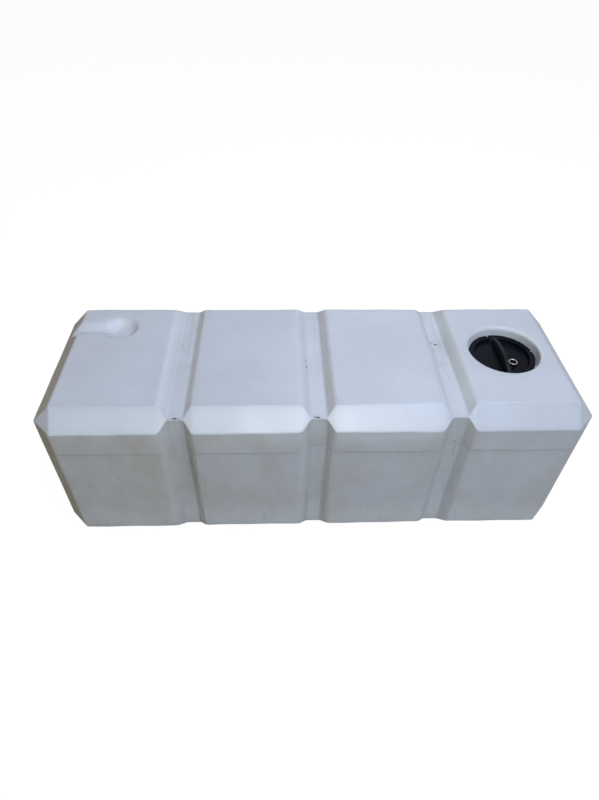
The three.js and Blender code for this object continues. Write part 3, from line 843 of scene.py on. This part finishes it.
def end_face(station, hole_circle):
    """Closes the net at one end, leaving the hole open."""
    ids = [on_net(station, c) for c in range(around)] + list(hole_circle)
    flat = [Vector((shell.points[i][1], shell.points[i][2])) for i in ids]
    borders = [(i, (i + 1) % around) for i in range(around)]
    count = len(hole_circle)
    borders += [(around + i, around + (i + 1) % count) for i in range(count)]
    strewn = []
    for i, y in enumerate(np.arange(1 - STREWN_REACH, STREWN_REACH, STREWN_STEP)):
        shift = STREWN_STEP // 2 * (i % 2)
        for z in np.arange(STREWN_LOW + shift, STREWN_HIGH, STREWN_STEP):
            if not count or math.hypot(y, z - OUTLET_Z) > OUTLET_EDGE:
                strewn.append((y, z))
    x = shell.points[ids[0]][0]
    ids += shell.add_loop([(x, y, z) for y, z in strewn])
    flat += [Vector(p) for p in strewn]
    points, _, triangles, origin, _, _ = delaunay_2d_cdt(flat, borders, [], 1, 1e-5)
    to_id = [ids[o[0]] for o in origin]
    for t in triangles:
        middle = sum((points[i] for i in t), Vector((0, 0))) / 3
        outside = math.hypot(middle.x, middle.y - OUTLET_Z) > outlet_rows[0][0] * 0.985
        if outside or not count:
            shell.faces.append(tuple(to_id[i] for i in t))


turns = [2 * math.pi * i / OUTLET_SIDES for i in range(OUTLET_SIDES)]
loops = [
    shell.add_loop([
        (depth - LENGTH / 2, r * math.cos(a), OUTLET_Z + r * math.sin(a)) for a in turns
    ])
    for r, depth in outlet_rows
]
for one, two in zip(loops, loops[1:]):
    shell.bridge(one, two)
end_face(0, loops[0])
end_face(len(stations) - 1, [])
print("skin:", len(shell.points), "points,", len(shell.faces), "faces")

# %% [markdown]
# ## Making the skin hang together
# The parts of the skin share their edge points, so they are already joined.
# Loose points in the openings go, and all faces are turned to look outwards.
# Long flats of a hollow moulding are never quite flat: they draw in by a
# fraction of a millimetre as they cool. A slow wave along the skin's normals
# gives that. The wave dies out where another piece has to fit.

# %% Skin to mesh
WELD = 1e-6


class Editing:
    """Opens a piece's mesh for changes, and puts it back after them."""

    def __init__(self, piece):
        self.piece, self.work = piece, bmesh.new()

    def __enter__(self):
        self.work.from_mesh(self.piece.data)
        return self.work

    def __exit__(self, *problem):
        self.work.to_mesh(self.piece.data)
        self.work.free()


tank = mesh_object("tank_shell", shell.points, shell.faces)
with Editing(tank) as work:
    loose = [v for v in work.verts if not v.link_faces]
    bmesh.ops.delete(work, geom=loose, context="VERTS")
    bmesh.ops.remove_doubles(work, verts=work.verts, dist=WELD)
    bmesh.ops.recalc_face_normals(work, faces=work.faces)
count = len(tank.data.vertices)
print("tank:", count, "points")

# %% Draw-in and witness line
DRAW_IN, WITNESS_RISE, WITNESS_HALF = 0.9, 0.3, 0.9


def smooth(low, high, value):
    """Goes smoothly from 0 to 1 while the value goes from low to high."""
    share = np.clip((value - low) / (high - low), 0, 1)
    return share * share * (3 - 2 * share)


def bell(value, middle, width, power=2):
    """1 at the middle, which falls away to both sides."""
    return np.exp(-np.abs((value - middle) / width) ** power)


def waves(x, y, z):
    """A slow, smooth and fixed pattern between 0 and 1, over millimetres."""
    total = np.zeros_like(x)
    for along, over, up, shift in ((47, 61, 53, 0.3), (83, 71, 97, 1.9), (31, 90, 67, 4.1)):
        total += np.sin(x / along + y / over * 1.3 + shift) * np.cos(z / up - y / along + shift)
    return 0.5 + total / 6


at, normal = np.zeros(count * 3), np.zeros(count * 3, np.float32)
tank.data.vertices.foreach_get("co", at)
tank.data.vertices.foreach_get("normal", normal)
at, normal = at.reshape(-1, 3), normal.reshape(-1, 3)
x, y, z = (at / MM).T
from_lid = np.hypot(x - LID_X, y - LID_Y)
from_outlet = np.hypot(y, z - OUTLET_Z) + np.clip(x + 700, 0, None) * 5
quiet = smooth(112, 190, from_lid) * smooth(50, 110, from_outlet)
draw_in = DRAW_IN * waves(x, y, z) * quiet
ridge = bell(z, WITNESS_Z, WITNESS_HALF) * (np.abs(normal[:, 2]) < 0.3) * WITNESS_RISE
at -= normal * (draw_in[:, None] * MM)
at += normal * (ridge[:, None] * quiet[:, None] * MM)
at[:, 1] = np.clip(at[:, 1], cad_box[0][1], cad_box[1][1])
tank.data.vertices.foreach_set("co", at.ravel())
tank.data.update()
print("largest draw-in: %.2f mm" % draw_in.max())

# %% [markdown]
# ## Where the shell carries painted light, painted shade, dust or streaks
# The finish needs to know where the slopes, the grooves, the well and the left
# end are. Places painted by hand would be lost with the next change of size,
# so each mask is worked out from where a point lies, in millimetres, and which
# way its normal looks. The grooves differ on the real tank, so each has shares
# of its own for its left and its right slope.

# %% Masks of the shell
# What the left, middle and right groove carry on their left slope (-1) and their right one (1)
# The pale shares paint light onto the groove slopes
PALE_LIT_FRONT = {-1: (0.65, 0.5, 0.15), 1: (0.05, 0.6, 0.3)}
# Grime with painted shade near each groove's floor corners
GRIMY_AND_SHADED = {-1: (0.15, 0.45, 0.35), 1: (0.95, 0.45, 0.35)}
STREAKED = {-1: (0.15, 0.25, 0.1), 1: (1.0, 0.35, 0.25)}
OLIVE_TOP = {-1: (0.05, 0.1, 0.3), 1: (0.65, 0.55, 0.3)}
PALE_LIT_TOP = {-1: 0.4, 1: 0.8}
# Dust and painted shade on the top of each groove's floor, darker towards the back, and dust along
# every groove down the sides
DUSTY_AND_SHADED_TOP, DUSTY_SIDE = (0.5, 0.35, 0.65), 0.18


def set_mask(piece, name, values):
    layer = piece.data.attributes.new(name, "FLOAT", "POINT")
    layer.data.foreach_set("value", np.clip(values, 0, 1).astype(np.float32))


upright = smooth(0.75, 0.45, np.abs(normal[:, 2]))
wall = smooth(0.35, 0.12, np.abs(normal[:, 2]))
front = wall * (y < 0)
over = smooth(0.3, 0.12, np.abs(normal[:, 1])) * (normal[:, 2] > 0.3)
grime_and_shade, slope, streak, olive = np.zeros((4, count))
for i, middle in enumerate(GROOVES):
    for side in (-1, 1):
        off = (x - middle) * side
        beside = bell(off, 33, 12, 3)
        slope = np.maximum(slope, beside * (PALE_LIT_FRONT[side][i] * front + PALE_LIT_TOP[side] * over))
        olive = np.maximum(olive, beside * over * OLIVE_TOP[side][i])
        grime_and_shade = np.maximum(grime_and_shade, bell(off, 26, 8) * GRIMY_AND_SHADED[side][i] * (0.25 + 0.75 * upright))
        streak = np.maximum(streak, bell(off, 31, 11) * STREAKED[side][i] * front)
    in_groove = smooth(34, 16, np.abs(x - middle))
    grime_and_shade = np.maximum(grime_and_shade, in_groove * DUSTY_SIDE * upright)
    grime_and_shade = np.maximum(grime_and_shade, in_groove * DUSTY_AND_SHADED_TOP[i] * over * smooth(-230, 100, y))

# Painted light: the wall of the well is made pale, and so is the part of its lip that faces left,
# where shade would fall
lip = smooth(532.2, 529.5, z) * smooth(0.1, 0.6, -normal[:, 0])
in_well = np.maximum(smooth(531.5, 524, z), lip) * smooth(126, 118, from_lid)
slope = np.maximum(slope, in_well * (from_lid > NECK_R + 2))

# Painted light: the long sides are made paler along their lower edge, as from light off the floor,
# and along the upper one as far as the lid
flank = smooth(0.5, 0.8, np.abs(normal[:, 1]))
slope = np.maximum(slope, 0.45 * flank * smooth(200, 60, z))
slope = np.maximum(slope, 0.45 * flank * smooth(405, 470, z) * smooth(420, 250, x))

# The upright sides turn olive towards the left. The chamfer of the left end is darker: brown dust,
# and painted shade on faces that turn away from the lamps
warm = wall * (0.25 + 0.75 * smooth(250, -640, x)) * (0.6 + 0.25 * smooth(60, 300, z))
warm *= 1 - 0.7 * smooth(0.8, 0.95, -normal[:, 0])
left_end_dust_and_shade = smooth(-706, -716, x) * smooth(0.6, 0.68, -normal[:, 0])
left_end_dust_and_shade *= smooth(1.1, 0.8, -normal[:, 0])

masks = {
    "grime_and_shade": np.maximum(grime_and_shade, left_end_dust_and_shade * upright * 0.8),
    "upright": upright,
    "slope": slope,
    "streak": streak,
    "warm": np.maximum(warm, olive),
    "end": left_end_dust_and_shade,
    "rub": 0.3 + 0.7 * smooth(300, 60, z),
}
for name, values in masks.items():
    set_mask(tank, name, values)
print("masks:", ", ".join(masks))

# %% [markdown]
# ## The wall
# The real tank is hollow, and so is this one. The skin is offset inwards by the
# wall's thickness, and the outside stays where it is. Offsetting evenly keeps
# the wall's thickness in the corners too.


# %% Wall thickness
def apply_modifier(piece, kind, **settings):
    """Adds a modifier and makes its result the mesh."""
    modifier = piece.modifiers.new(kind.lower(), kind)
    for key, value in settings.items():
        setattr(modifier, key, value)
    bpy.context.view_layer.update()
    shaped = piece.evaluated_get(bpy.context.evaluated_depsgraph_get())
    old, result = piece.data, bpy.data.meshes.new_from_object(shaped)
    piece.modifiers.clear()
    piece.data = result
    bpy.data.meshes.remove(old)


apply_modifier(
    tank, "SOLIDIFY", thickness=WALL * MM, offset=-1, use_even_offset=True, thickness_clamp=1.0
)
for polygon in tank.data.polygons:
    polygon.use_smooth = True
dress(tank, "tank_body")

# %% [markdown]
# ## Turned pieces
# Most of the small pieces are turned: a profile of radius and height goes once
# round. A row may carry a depth of cut, and then a screw thread winds through
# it. Pieces for the lid are made about the lid's middle, with height zero at
# the rim's top. Those for the outlet look out of the end wall. What isn't round
# is lofted from cross-sections and joined or cut exactly, and then its sharp
# edges are rounded, because a real edge always catches a little light.

# %% Places of the turned pieces
BREATHER_X, BREATHER_Y = 24, -31.5
LID_PLACE = Matrix.Translation((LID_X * MM, LID_Y * MM, RIM_Z * MM))
BREATHER_PLACE = LID_PLACE @ Matrix.Translation((BREATHER_X * MM, BREATHER_Y * MM, 0))
OUTLET_PLACE = Matrix.Translation((-LENGTH / 2 * MM, 0, OUTLET_Z * MM))
OUTLET_PLACE = OUTLET_PLACE @ Matrix.Rotation(-math.pi / 2, 4, "Y")
print("breather at", tuple(round(c, 4) for c in BREATHER_PLACE.translation))


# %% Turning and lofting
def solid(name, points, faces, place):
    """A closed mesh with its faces turned outwards, put in its place."""
    made = mesh_object(name, points, faces)
    with Editing(made) as work:
        bmesh.ops.recalc_face_normals(work, faces=work.faces)
    made.data.transform(place)
    return made


def turned(name, rows, sides, place, pitch=1.0):
    """A closed solid of revolution from rows (radius, height) or (radius, height, cut)."""
    points, loops, faces = [], [], []
    for row in rows:
        r, z, cut = (*row, 0) if len(row) == 2 else row
        turns = [2 * math.pi * i / sides for i in range(sides if r > 0 else 1)]
        loops.append(list(range(len(points), len(points) + len(turns))))
        for a in turns:
            q = r + cut * thread_cut(z, a, pitch) if cut else r
            points.append((q * math.cos(a), q * math.sin(a), z))
    pairs = list(zip(loops, loops[1:]))
    if len(loops[0]) > 1:
        pairs.append((loops[-1], loops[0]))
    for one, two in pairs:
        for i in range(sides):
            j = (i + 1) % sides
            face = [one[i % len(one)], one[j % len(one)], two[j % len(two)], two[i % len(two)]]
            faces.append(tuple(dict.fromkeys(face)))
    return solid(name, points, faces, place)


def tube_faces(rings, count, base=0):
    """Faces over the first and the last of some rings of points, and between the rings."""
    end = base + rings * count
    faces = [tuple(range(base, base + count)), tuple(range(end - count, end))]
    for ring in range(base, end - count, count):
        for i in range(count):
            here, on = ring + i, ring + (i + 1) % count
            faces.append((here, on, on + count, here + count))
    return faces


def lofted(name, rings, place):
    """A closed solid over a row of rings with equal counts of points."""
    points = [p for ring in rings for p in ring]
    return solid(name, points, tube_faces(len(rings), len(rings[0])), place)


# %% Cutting and softening
SHARP = 32


def drop(piece):
    """Takes a helper piece away, with its mesh."""
    mesh = piece.data
    bpy.data.objects.remove(piece)
    bpy.data.meshes.remove(mesh)


def combine(piece, operation, tool):
    """Joins, cuts or crosses two solids exactly, and drops the tool."""
    apply_modifier(piece, "BOOLEAN", operation=operation, solver="EXACT", object=tool)
    drop(tool)
    return piece


def shade(piece, sharp=SHARP):
    """Smooth shading, apart from edges sharper than an angle in degrees."""
    with Editing(piece) as work:
        for face in work.faces:
            face.smooth = True
        for edge in work.edges:
            paired = len(edge.link_faces) == 2
            edge.smooth = paired and edge.calc_face_angle() < math.radians(sharp)
    return piece


def soften(piece, width):
    """Rounds the sharp edges to a width in millimetres, and shades the rest smooth."""
    with Editing(piece) as work:
        bmesh.ops.remove_doubles(work, verts=work.verts, dist=WELD)
        bmesh.ops.dissolve_limit(
            work, angle_limit=math.radians(0.4), verts=work.verts, edges=work.edges
        )
    apply_modifier(
        piece, "BEVEL", width=width * MM, segments=2, limit_method="ANGLE",
        angle_limit=math.radians(SHARP), harden_normals=False,
    )
    apply_modifier(shade(piece), "WEIGHTED_NORMAL", keep_sharp=True)


# %% [markdown]
# ## The lid
# The lid is a turned disc with a dished middle and a skirt below that carries
# a coarse thread. An arched grip bar runs across the dish. It is hollow from
# below, as a moulding with an even wall has to be. Four notches in the rim
# take a wrench, and a hole takes the breather.

# %% Lid disc
RIM, EDGE_R, DISH_R, DISH_FLOOR, DISH_DEPTH, DISH_DRAFT = 7.0, 98.0, 82.0, 4.0, 12.0, 4.0
SKIRT_R, SKIRT_WALL, SKIRT_DEPTH, SKIRT_CUT = 87.5, 4.0, 22.0, 1.1
LID_SIDES = 144
under = -DISH_DEPTH - DISH_FLOOR
skirt_in, skirt_end = SKIRT_R - SKIRT_WALL, -RIM - SKIRT_DEPTH
thread_low, thread_high = skirt_end + 2, -RIM - 1.5
lid_rows = round_path([
    (0, under, 0), (skirt_in, under, 2.0), (skirt_in, skirt_end, 1.2),
    (SKIRT_R, skirt_end, 1.2), (SKIRT_R, thread_low, 0),
], 4)
lid_rows += thread_rows(SKIRT_R, thread_low, thread_high, NECK_PITCH, SKIRT_CUT, NECK_ROW)[1:-1]
lid_rows += round_path([
    (SKIRT_R, thread_high, 0), (SKIRT_R, -RIM, 1.01), (EDGE_R, -RIM, 1.5), (EDGE_R, 0, 2.8),
    (DISH_R, 0, 2.6), (DISH_R - DISH_DRAFT, -DISH_DEPTH, 3.0), (0, -DISH_DEPTH, 0),
], 5)
lid = turned("lid_cap", lid_rows, LID_SIDES, LID_PLACE, NECK_PITCH)
print("lid: %d rows, %d sides" % (len(lid_rows), LID_SIDES))

# %% Grip bar
BAR_RISE, BAR_FOOT, BAR_CROWN, BAR_ROUND, BAR_DROP, BAR_WALL = 16.0, 10.6, 5.4, 4.0, 1.5, 3.2
BAR_REACH, BAR_RINGS = DISH_R + 4, 49


def bar_ring(y, inset, base):
    """One cross-section of the grip bar, which narrows upwards."""
    top = BAR_RISE - (BAR_RISE + BAR_DROP) * (y / BAR_REACH) ** 2 - inset
    foot, crown = BAR_FOOT - inset, BAR_CROWN - inset
    corners = [(foot, base, 0), (crown, top, min(BAR_ROUND, 0.9 * crown)), (0, top, 0)]
    side = round_path(corners, 5)[:-1]
    return [(p[0], y, p[1]) for p in side] + [(-p[0], y, p[1]) for p in reversed(side)]


def grip_bar(name, reach, inset, base):
    """The bar from end to end, or its hollow, which lies inset in it."""
    places = [reach * (2 * i / (BAR_RINGS - 1) - 1) for i in range(BAR_RINGS)]
    return lofted(name, [bar_ring(y, inset, base) for y in places], LID_PLACE)


bar = grip_bar("grip_bar", BAR_REACH, 0, -DISH_DEPTH - DISH_FLOOR / 2)
core = grip_bar("grip_core", DISH_R - DISH_DRAFT - BAR_WALL, BAR_WALL, under - 5)
combine(lid, "UNION", bar)
combine(lid, "DIFFERENCE", core)
print("grip bar: %g mm high, %g mm wall" % (BAR_RISE, BAR_WALL))

# %% Notches and the breather's hole
NOTCH_HALF, NOTCH_DEEP, NOTCH_TURN = 4.0, 10.0, math.radians(11.5)
HOLE_R = 11.3
for i in range(4):
    turn = Matrix.Rotation(NOTCH_TURN + i * math.pi / 2, 4, "Z")
    near, far = EDGE_R - NOTCH_DEEP, EDGE_R + NOTCH_DEEP
    rings = [
        [(near, -NOTCH_HALF, z), (far, -NOTCH_HALF, z), (far, NOTCH_HALF, z), (near, NOTCH_HALF, z)]
        for z in (-10.5, 3.5)
    ]
    combine(lid, "DIFFERENCE", lofted("notch", rings, LID_PLACE @ turn))
drill = turned("drill", [(0, -20), (HOLE_R, -20), (HOLE_R, -6), (0, -6)], 64, BREATHER_PLACE)
combine(lid, "DIFFERENCE", drill)
soften(lid, 0.8)

# The bar is worn and painted paler, most of all on its left face: painted light where that face
# stands in shade
wear_and_painted_light = []
for vertex in lid.data.vertices:
    aside, above = vertex.co.x / MM - LID_X, vertex.co.z / MM - RIM_Z + DISH_DEPTH
    on_bar = above > 1 and abs(aside) < BAR_FOOT + 1
    wear_and_painted_light.append(on_bar * (1.0 if aside < -1 else 0.3))
set_mask(lid, "wear_and_painted_light", np.array(wear_and_painted_light))
dress(lid, "lid")

# %% [markdown]
# ## Seal and breather
# The seal is a flat ring with rounded edges. The breather is a plated bush
# with a rolled bead, which shows bright against the black lid. A rubber washer
# lies under its collar, woven gauze keeps insects out, and a hexagon nut holds
# it from below.


# %% Seal and washer
def ring_rows(inner, outer, low, high, radius, steps=4):
    """A ring's section with rounded corners, as rows for turning."""
    middle = (inner + outer) / 2
    corners = [(middle, low, 0), (outer, low, radius), (outer, high, radius),
               (inner, high, radius), (inner, low, radius), (middle, low, 0)]
    return round_path(corners, steps)[:-1]


seal = turned("seal_ring", ring_rows(90.0, 94.0, -10.3, -7.3, 1.05), LID_SIDES, LID_PLACE)
dress(shade(seal), "lid_seal")
washer_rows = ring_rows(HOLE_R, 12.7, -11.7, -10.2, 0.5, 3)
washer = turned("breather_washer_ring", washer_rows, 72, BREATHER_PLACE)
dress(shade(washer), "breather_washer")

# %% Breather bush
BUSH_R, BUSH_BORE, BUSH_BASE, BEAD, BEAD_R = 11.8, 10.2, -3.2, 1.2, 11.4
COLLAR_R, COLLAR_LOW, COLLAR_TOP = 12.7, -9.9, -7.4
SHANK_R, SHANK_BORE, SHANK_END, BORE_END = 11.0, 7.4, -24.3, -15
BUSH_PITCH, BUSH_CUT, BUSH_ROW = 1.5, 0.55, 0.3
thread_low = SHANK_END + 1.6
bush_rows = round_path([
    (SHANK_BORE, BORE_END, 0), (SHANK_BORE, SHANK_END, 0.6), (SHANK_R, SHANK_END, 0.9),
    (SHANK_R, thread_low, 0),
], 3)
bush_rows += thread_rows(SHANK_R, thread_low, -12.5, BUSH_PITCH, -BUSH_CUT, BUSH_ROW)[1:]
bush_rows += round_path([
    (SHANK_R, -11.8, 0), (SHANK_R, COLLAR_LOW, 0), (COLLAR_R, COLLAR_LOW, 0.5),
    (COLLAR_R, COLLAR_TOP, 0.8), (BUSH_R, COLLAR_TOP, 0.6), (BUSH_R, BUSH_BASE, 0),
], 3)
bush_rows += [
    (BEAD_R + BEAD * math.cos(a), -BEAD + BEAD * math.sin(a))
    for a in np.linspace(-0.75, math.pi + 0.75, 22)
]
bush_rows += round_path([
    (BUSH_BORE, BUSH_BASE, 0), (BUSH_BORE, COLLAR_LOW, 0), (SHANK_BORE, COLLAR_LOW, 0.4),
    (SHANK_BORE, BORE_END, 0),
], 3)[:-1]
bush = turned("breather_rim", bush_rows, 96, BREATHER_PLACE, BUSH_PITCH)
in_bush = [BREATHER_PLACE.inverted() @ v.co / MM for v in bush.data.vertices]
# Soot and painted shade on the bush below its bead, so that the bore looks dark
set_mask(bush, "soot_and_shade", np.array([p.z < -0.5 for p in in_bush], float))
dress(shade(bush), "breather_bush")


# %% Woven gauze
def tubes(name, lines, radius, sides, place):
    """Thin closed wires along lines of points."""
    points, faces = [], []
    for line in lines:
        faces += tube_faces(len(line), sides, len(points))
        for i, at in enumerate(line):
            before, after = line[max(i - 1, 0)], line[min(i + 1, len(line) - 1)]
            ahead = (Vector(after) - Vector(before)).normalized()
            side = ahead.cross(Vector((0, 0, 1))).normalized()
            lift = side.cross(ahead)
            for k in range(sides):
                a = 2 * math.pi * k / sides
                points.append(Vector(at) + radius * (side * math.cos(a) + lift * math.sin(a)))
    return solid(name, points, faces, place)


GAUZE_R, GAUZE_PITCH, GAUZE_WIRE, GAUZE_LIFT, GAUZE_Z = 9.6, 1.5, 0.23, 0.24, -9.1
wires = []
reach = int(GAUZE_R / GAUZE_PITCH)
for k in range(-reach, reach + 1):
    off = k * GAUZE_PITCH
    run = math.sqrt(GAUZE_R ** 2 - off ** 2)
    steps = np.linspace(-run, run, max(8, int(run * 2 / GAUZE_PITCH * 6)))
    lifts = [GAUZE_LIFT * math.cos(math.pi * (s / GAUZE_PITCH + k)) for s in steps]
    wires.append([(s, off, GAUZE_Z + lift) for s, lift in zip(steps, lifts)])
    wires.append([(off, s, GAUZE_Z - lift) for s, lift in zip(steps, lifts)])
gauze = tubes("breather_mesh", wires, GAUZE_WIRE, 6, BREATHER_PLACE)
binding_rows = ring_rows(9.2, 9.9, -9.6, -8.6, 0.3, 3)
binding = turned("gauze_binding", binding_rows, 64, BREATHER_PLACE)
with Editing(gauze) as work:
    work.from_mesh(binding.data)
drop(binding)
# The gauze is darkened by the same soot and painted shade
set_mask(gauze, "soot_and_shade", np.full(len(gauze.data.vertices), 0.85))
dress(shade(gauze, 60), "breather_gauze")

# %% Hexagon nut
CONE = math.radians(30)
SPARE = 0.01
TAP_R, TAP_MOUTH, TAP_CUT = 11.3, 12.0, 0.45


def hexagon(name, across, low, high, place, both=True):
    """A hexagon whose corners are turned off by a cone at its top, and at its foot if both."""
    r = across / math.sqrt(3)
    corners = [(r * math.cos(i * math.pi / 3), r * math.sin(i * math.pi / 3)) for i in range(6)]
    prism = lofted(name, [[(u, v, z) for u, v in corners] for z in (low, high)], place)
    flat, wide = across / 2 - 0.6, r + 1
    fall = (wide - flat) * math.tan(CONE)
    bottom, top = low - SPARE, high + SPARE
    foot = [(flat, bottom), (wide, low + fall)] if both else [(wide, bottom)]
    rows = [(0, bottom), *foot, (wide, high - fall), (flat, top), (0, top)]
    return combine(prism, "INTERSECT", turned("cone", rows, 96, place))


nut = hexagon("breather_hex_nut", 30.0, -22.3, -16.3, BREATHER_PLACE)
tap_rows = [(0, -25), (TAP_MOUTH, -25), (TAP_MOUTH, -23.0), (TAP_R, -22.0)]
tap_rows += thread_rows(TAP_R, -22.0, -16.6, BUSH_PITCH, TAP_CUT, BUSH_ROW)[1:-1]
tap_rows += [(TAP_R, -16.6), (TAP_MOUTH, -15.6), (TAP_MOUTH, -14), (0, -14)]
combine(nut, "DIFFERENCE", turned("tap", tap_rows, 72, BREATHER_PLACE, BUSH_PITCH))
soften(nut, 0.25)
dress(nut, "breather_nut")

# %% [markdown]
# ## The outlet
# The brass insert is moulded into the end wall, with a groove that the plastic
# grips and a parallel pipe thread inside. The plug has a threaded shank, a
# flange that presses the washer, and a hexagon for a spanner.

# %% Outlet insert
PIPE_PITCH, PIPE_CUT, PIPE_ROW = 2.309, 1.15, 0.33
BRASS_R, BRASS_WAIST, BRASS_FACE, BRASS_END = 23.0, 20.0, -24, -50
insert_rows = round_path([
    (15.9, BRASS_FACE, 0), (BRASS_R, BRASS_FACE, 0.5), (BRASS_R, -33.5, 0.4),
    (BRASS_WAIST, -33.5, 0.4), (BRASS_WAIST, -40.5, 0.4), (BRASS_R, -40.5, 0.4),
    (BRASS_R, BRASS_END, 0.8), (16.2, BRASS_END, 0.5), (INSERT_BORE, -49, 0),
], 3)
insert_rows += thread_rows(INSERT_BORE, -49, -25.5, PIPE_PITCH, PIPE_CUT, PIPE_ROW)[1:]
insert_rows += [(INSERT_BORE, -25.0), (16.4, -24.0)]
insert = turned("outlet_brass", insert_rows, 120, OUTLET_PLACE, PIPE_PITCH)
dress(shade(insert, 28), "outlet_insert")

# %% Washer and plug
FLANGE_R, FLANGE_BACK, FLANGE_FACE = 21.5, -20.9, -16.9
PLUG_R, PLUG_BORE, PLUG_END, PLUG_THREAD = 14.7, 10.2, -35.9, -34.0
plug_washer_rows = ring_rows(INSERT_BORE, FLANGE_R, -23.7, -21.2, 0.7)
plug_washer = turned("plug_washer_ring", plug_washer_rows, 96, OUTLET_PLACE)
dress(shade(plug_washer), "plug_washer")

plug_rows = round_path([
    (0, FLANGE_BACK, 0), (PLUG_BORE, FLANGE_BACK, 1.5), (PLUG_BORE, PLUG_END, 0.8),
    (PLUG_R, PLUG_END, 1.6), (PLUG_R, PLUG_THREAD, 0),
], 4)
plug_rows += thread_rows(PLUG_R, PLUG_THREAD, -22.0, PIPE_PITCH, -PIPE_CUT, PIPE_ROW)[1:]
plug_rows += round_path([
    (PLUG_R, -21.9, 0), (PLUG_R, FLANGE_BACK, 0), (FLANGE_R, FLANGE_BACK, 0.8),
    (FLANGE_R, FLANGE_FACE, 1.4), (0, FLANGE_FACE, 0),
], 4)
plug = turned("outlet_hex_plug", plug_rows, 120, OUTLET_PLACE, PIPE_PITCH)
combine(plug, "UNION", hexagon("hexagon", 32.0, -18.9, -5.9, OUTLET_PLACE, both=False))
soften(plug, 0.5)
dress(plug, "outlet_plug")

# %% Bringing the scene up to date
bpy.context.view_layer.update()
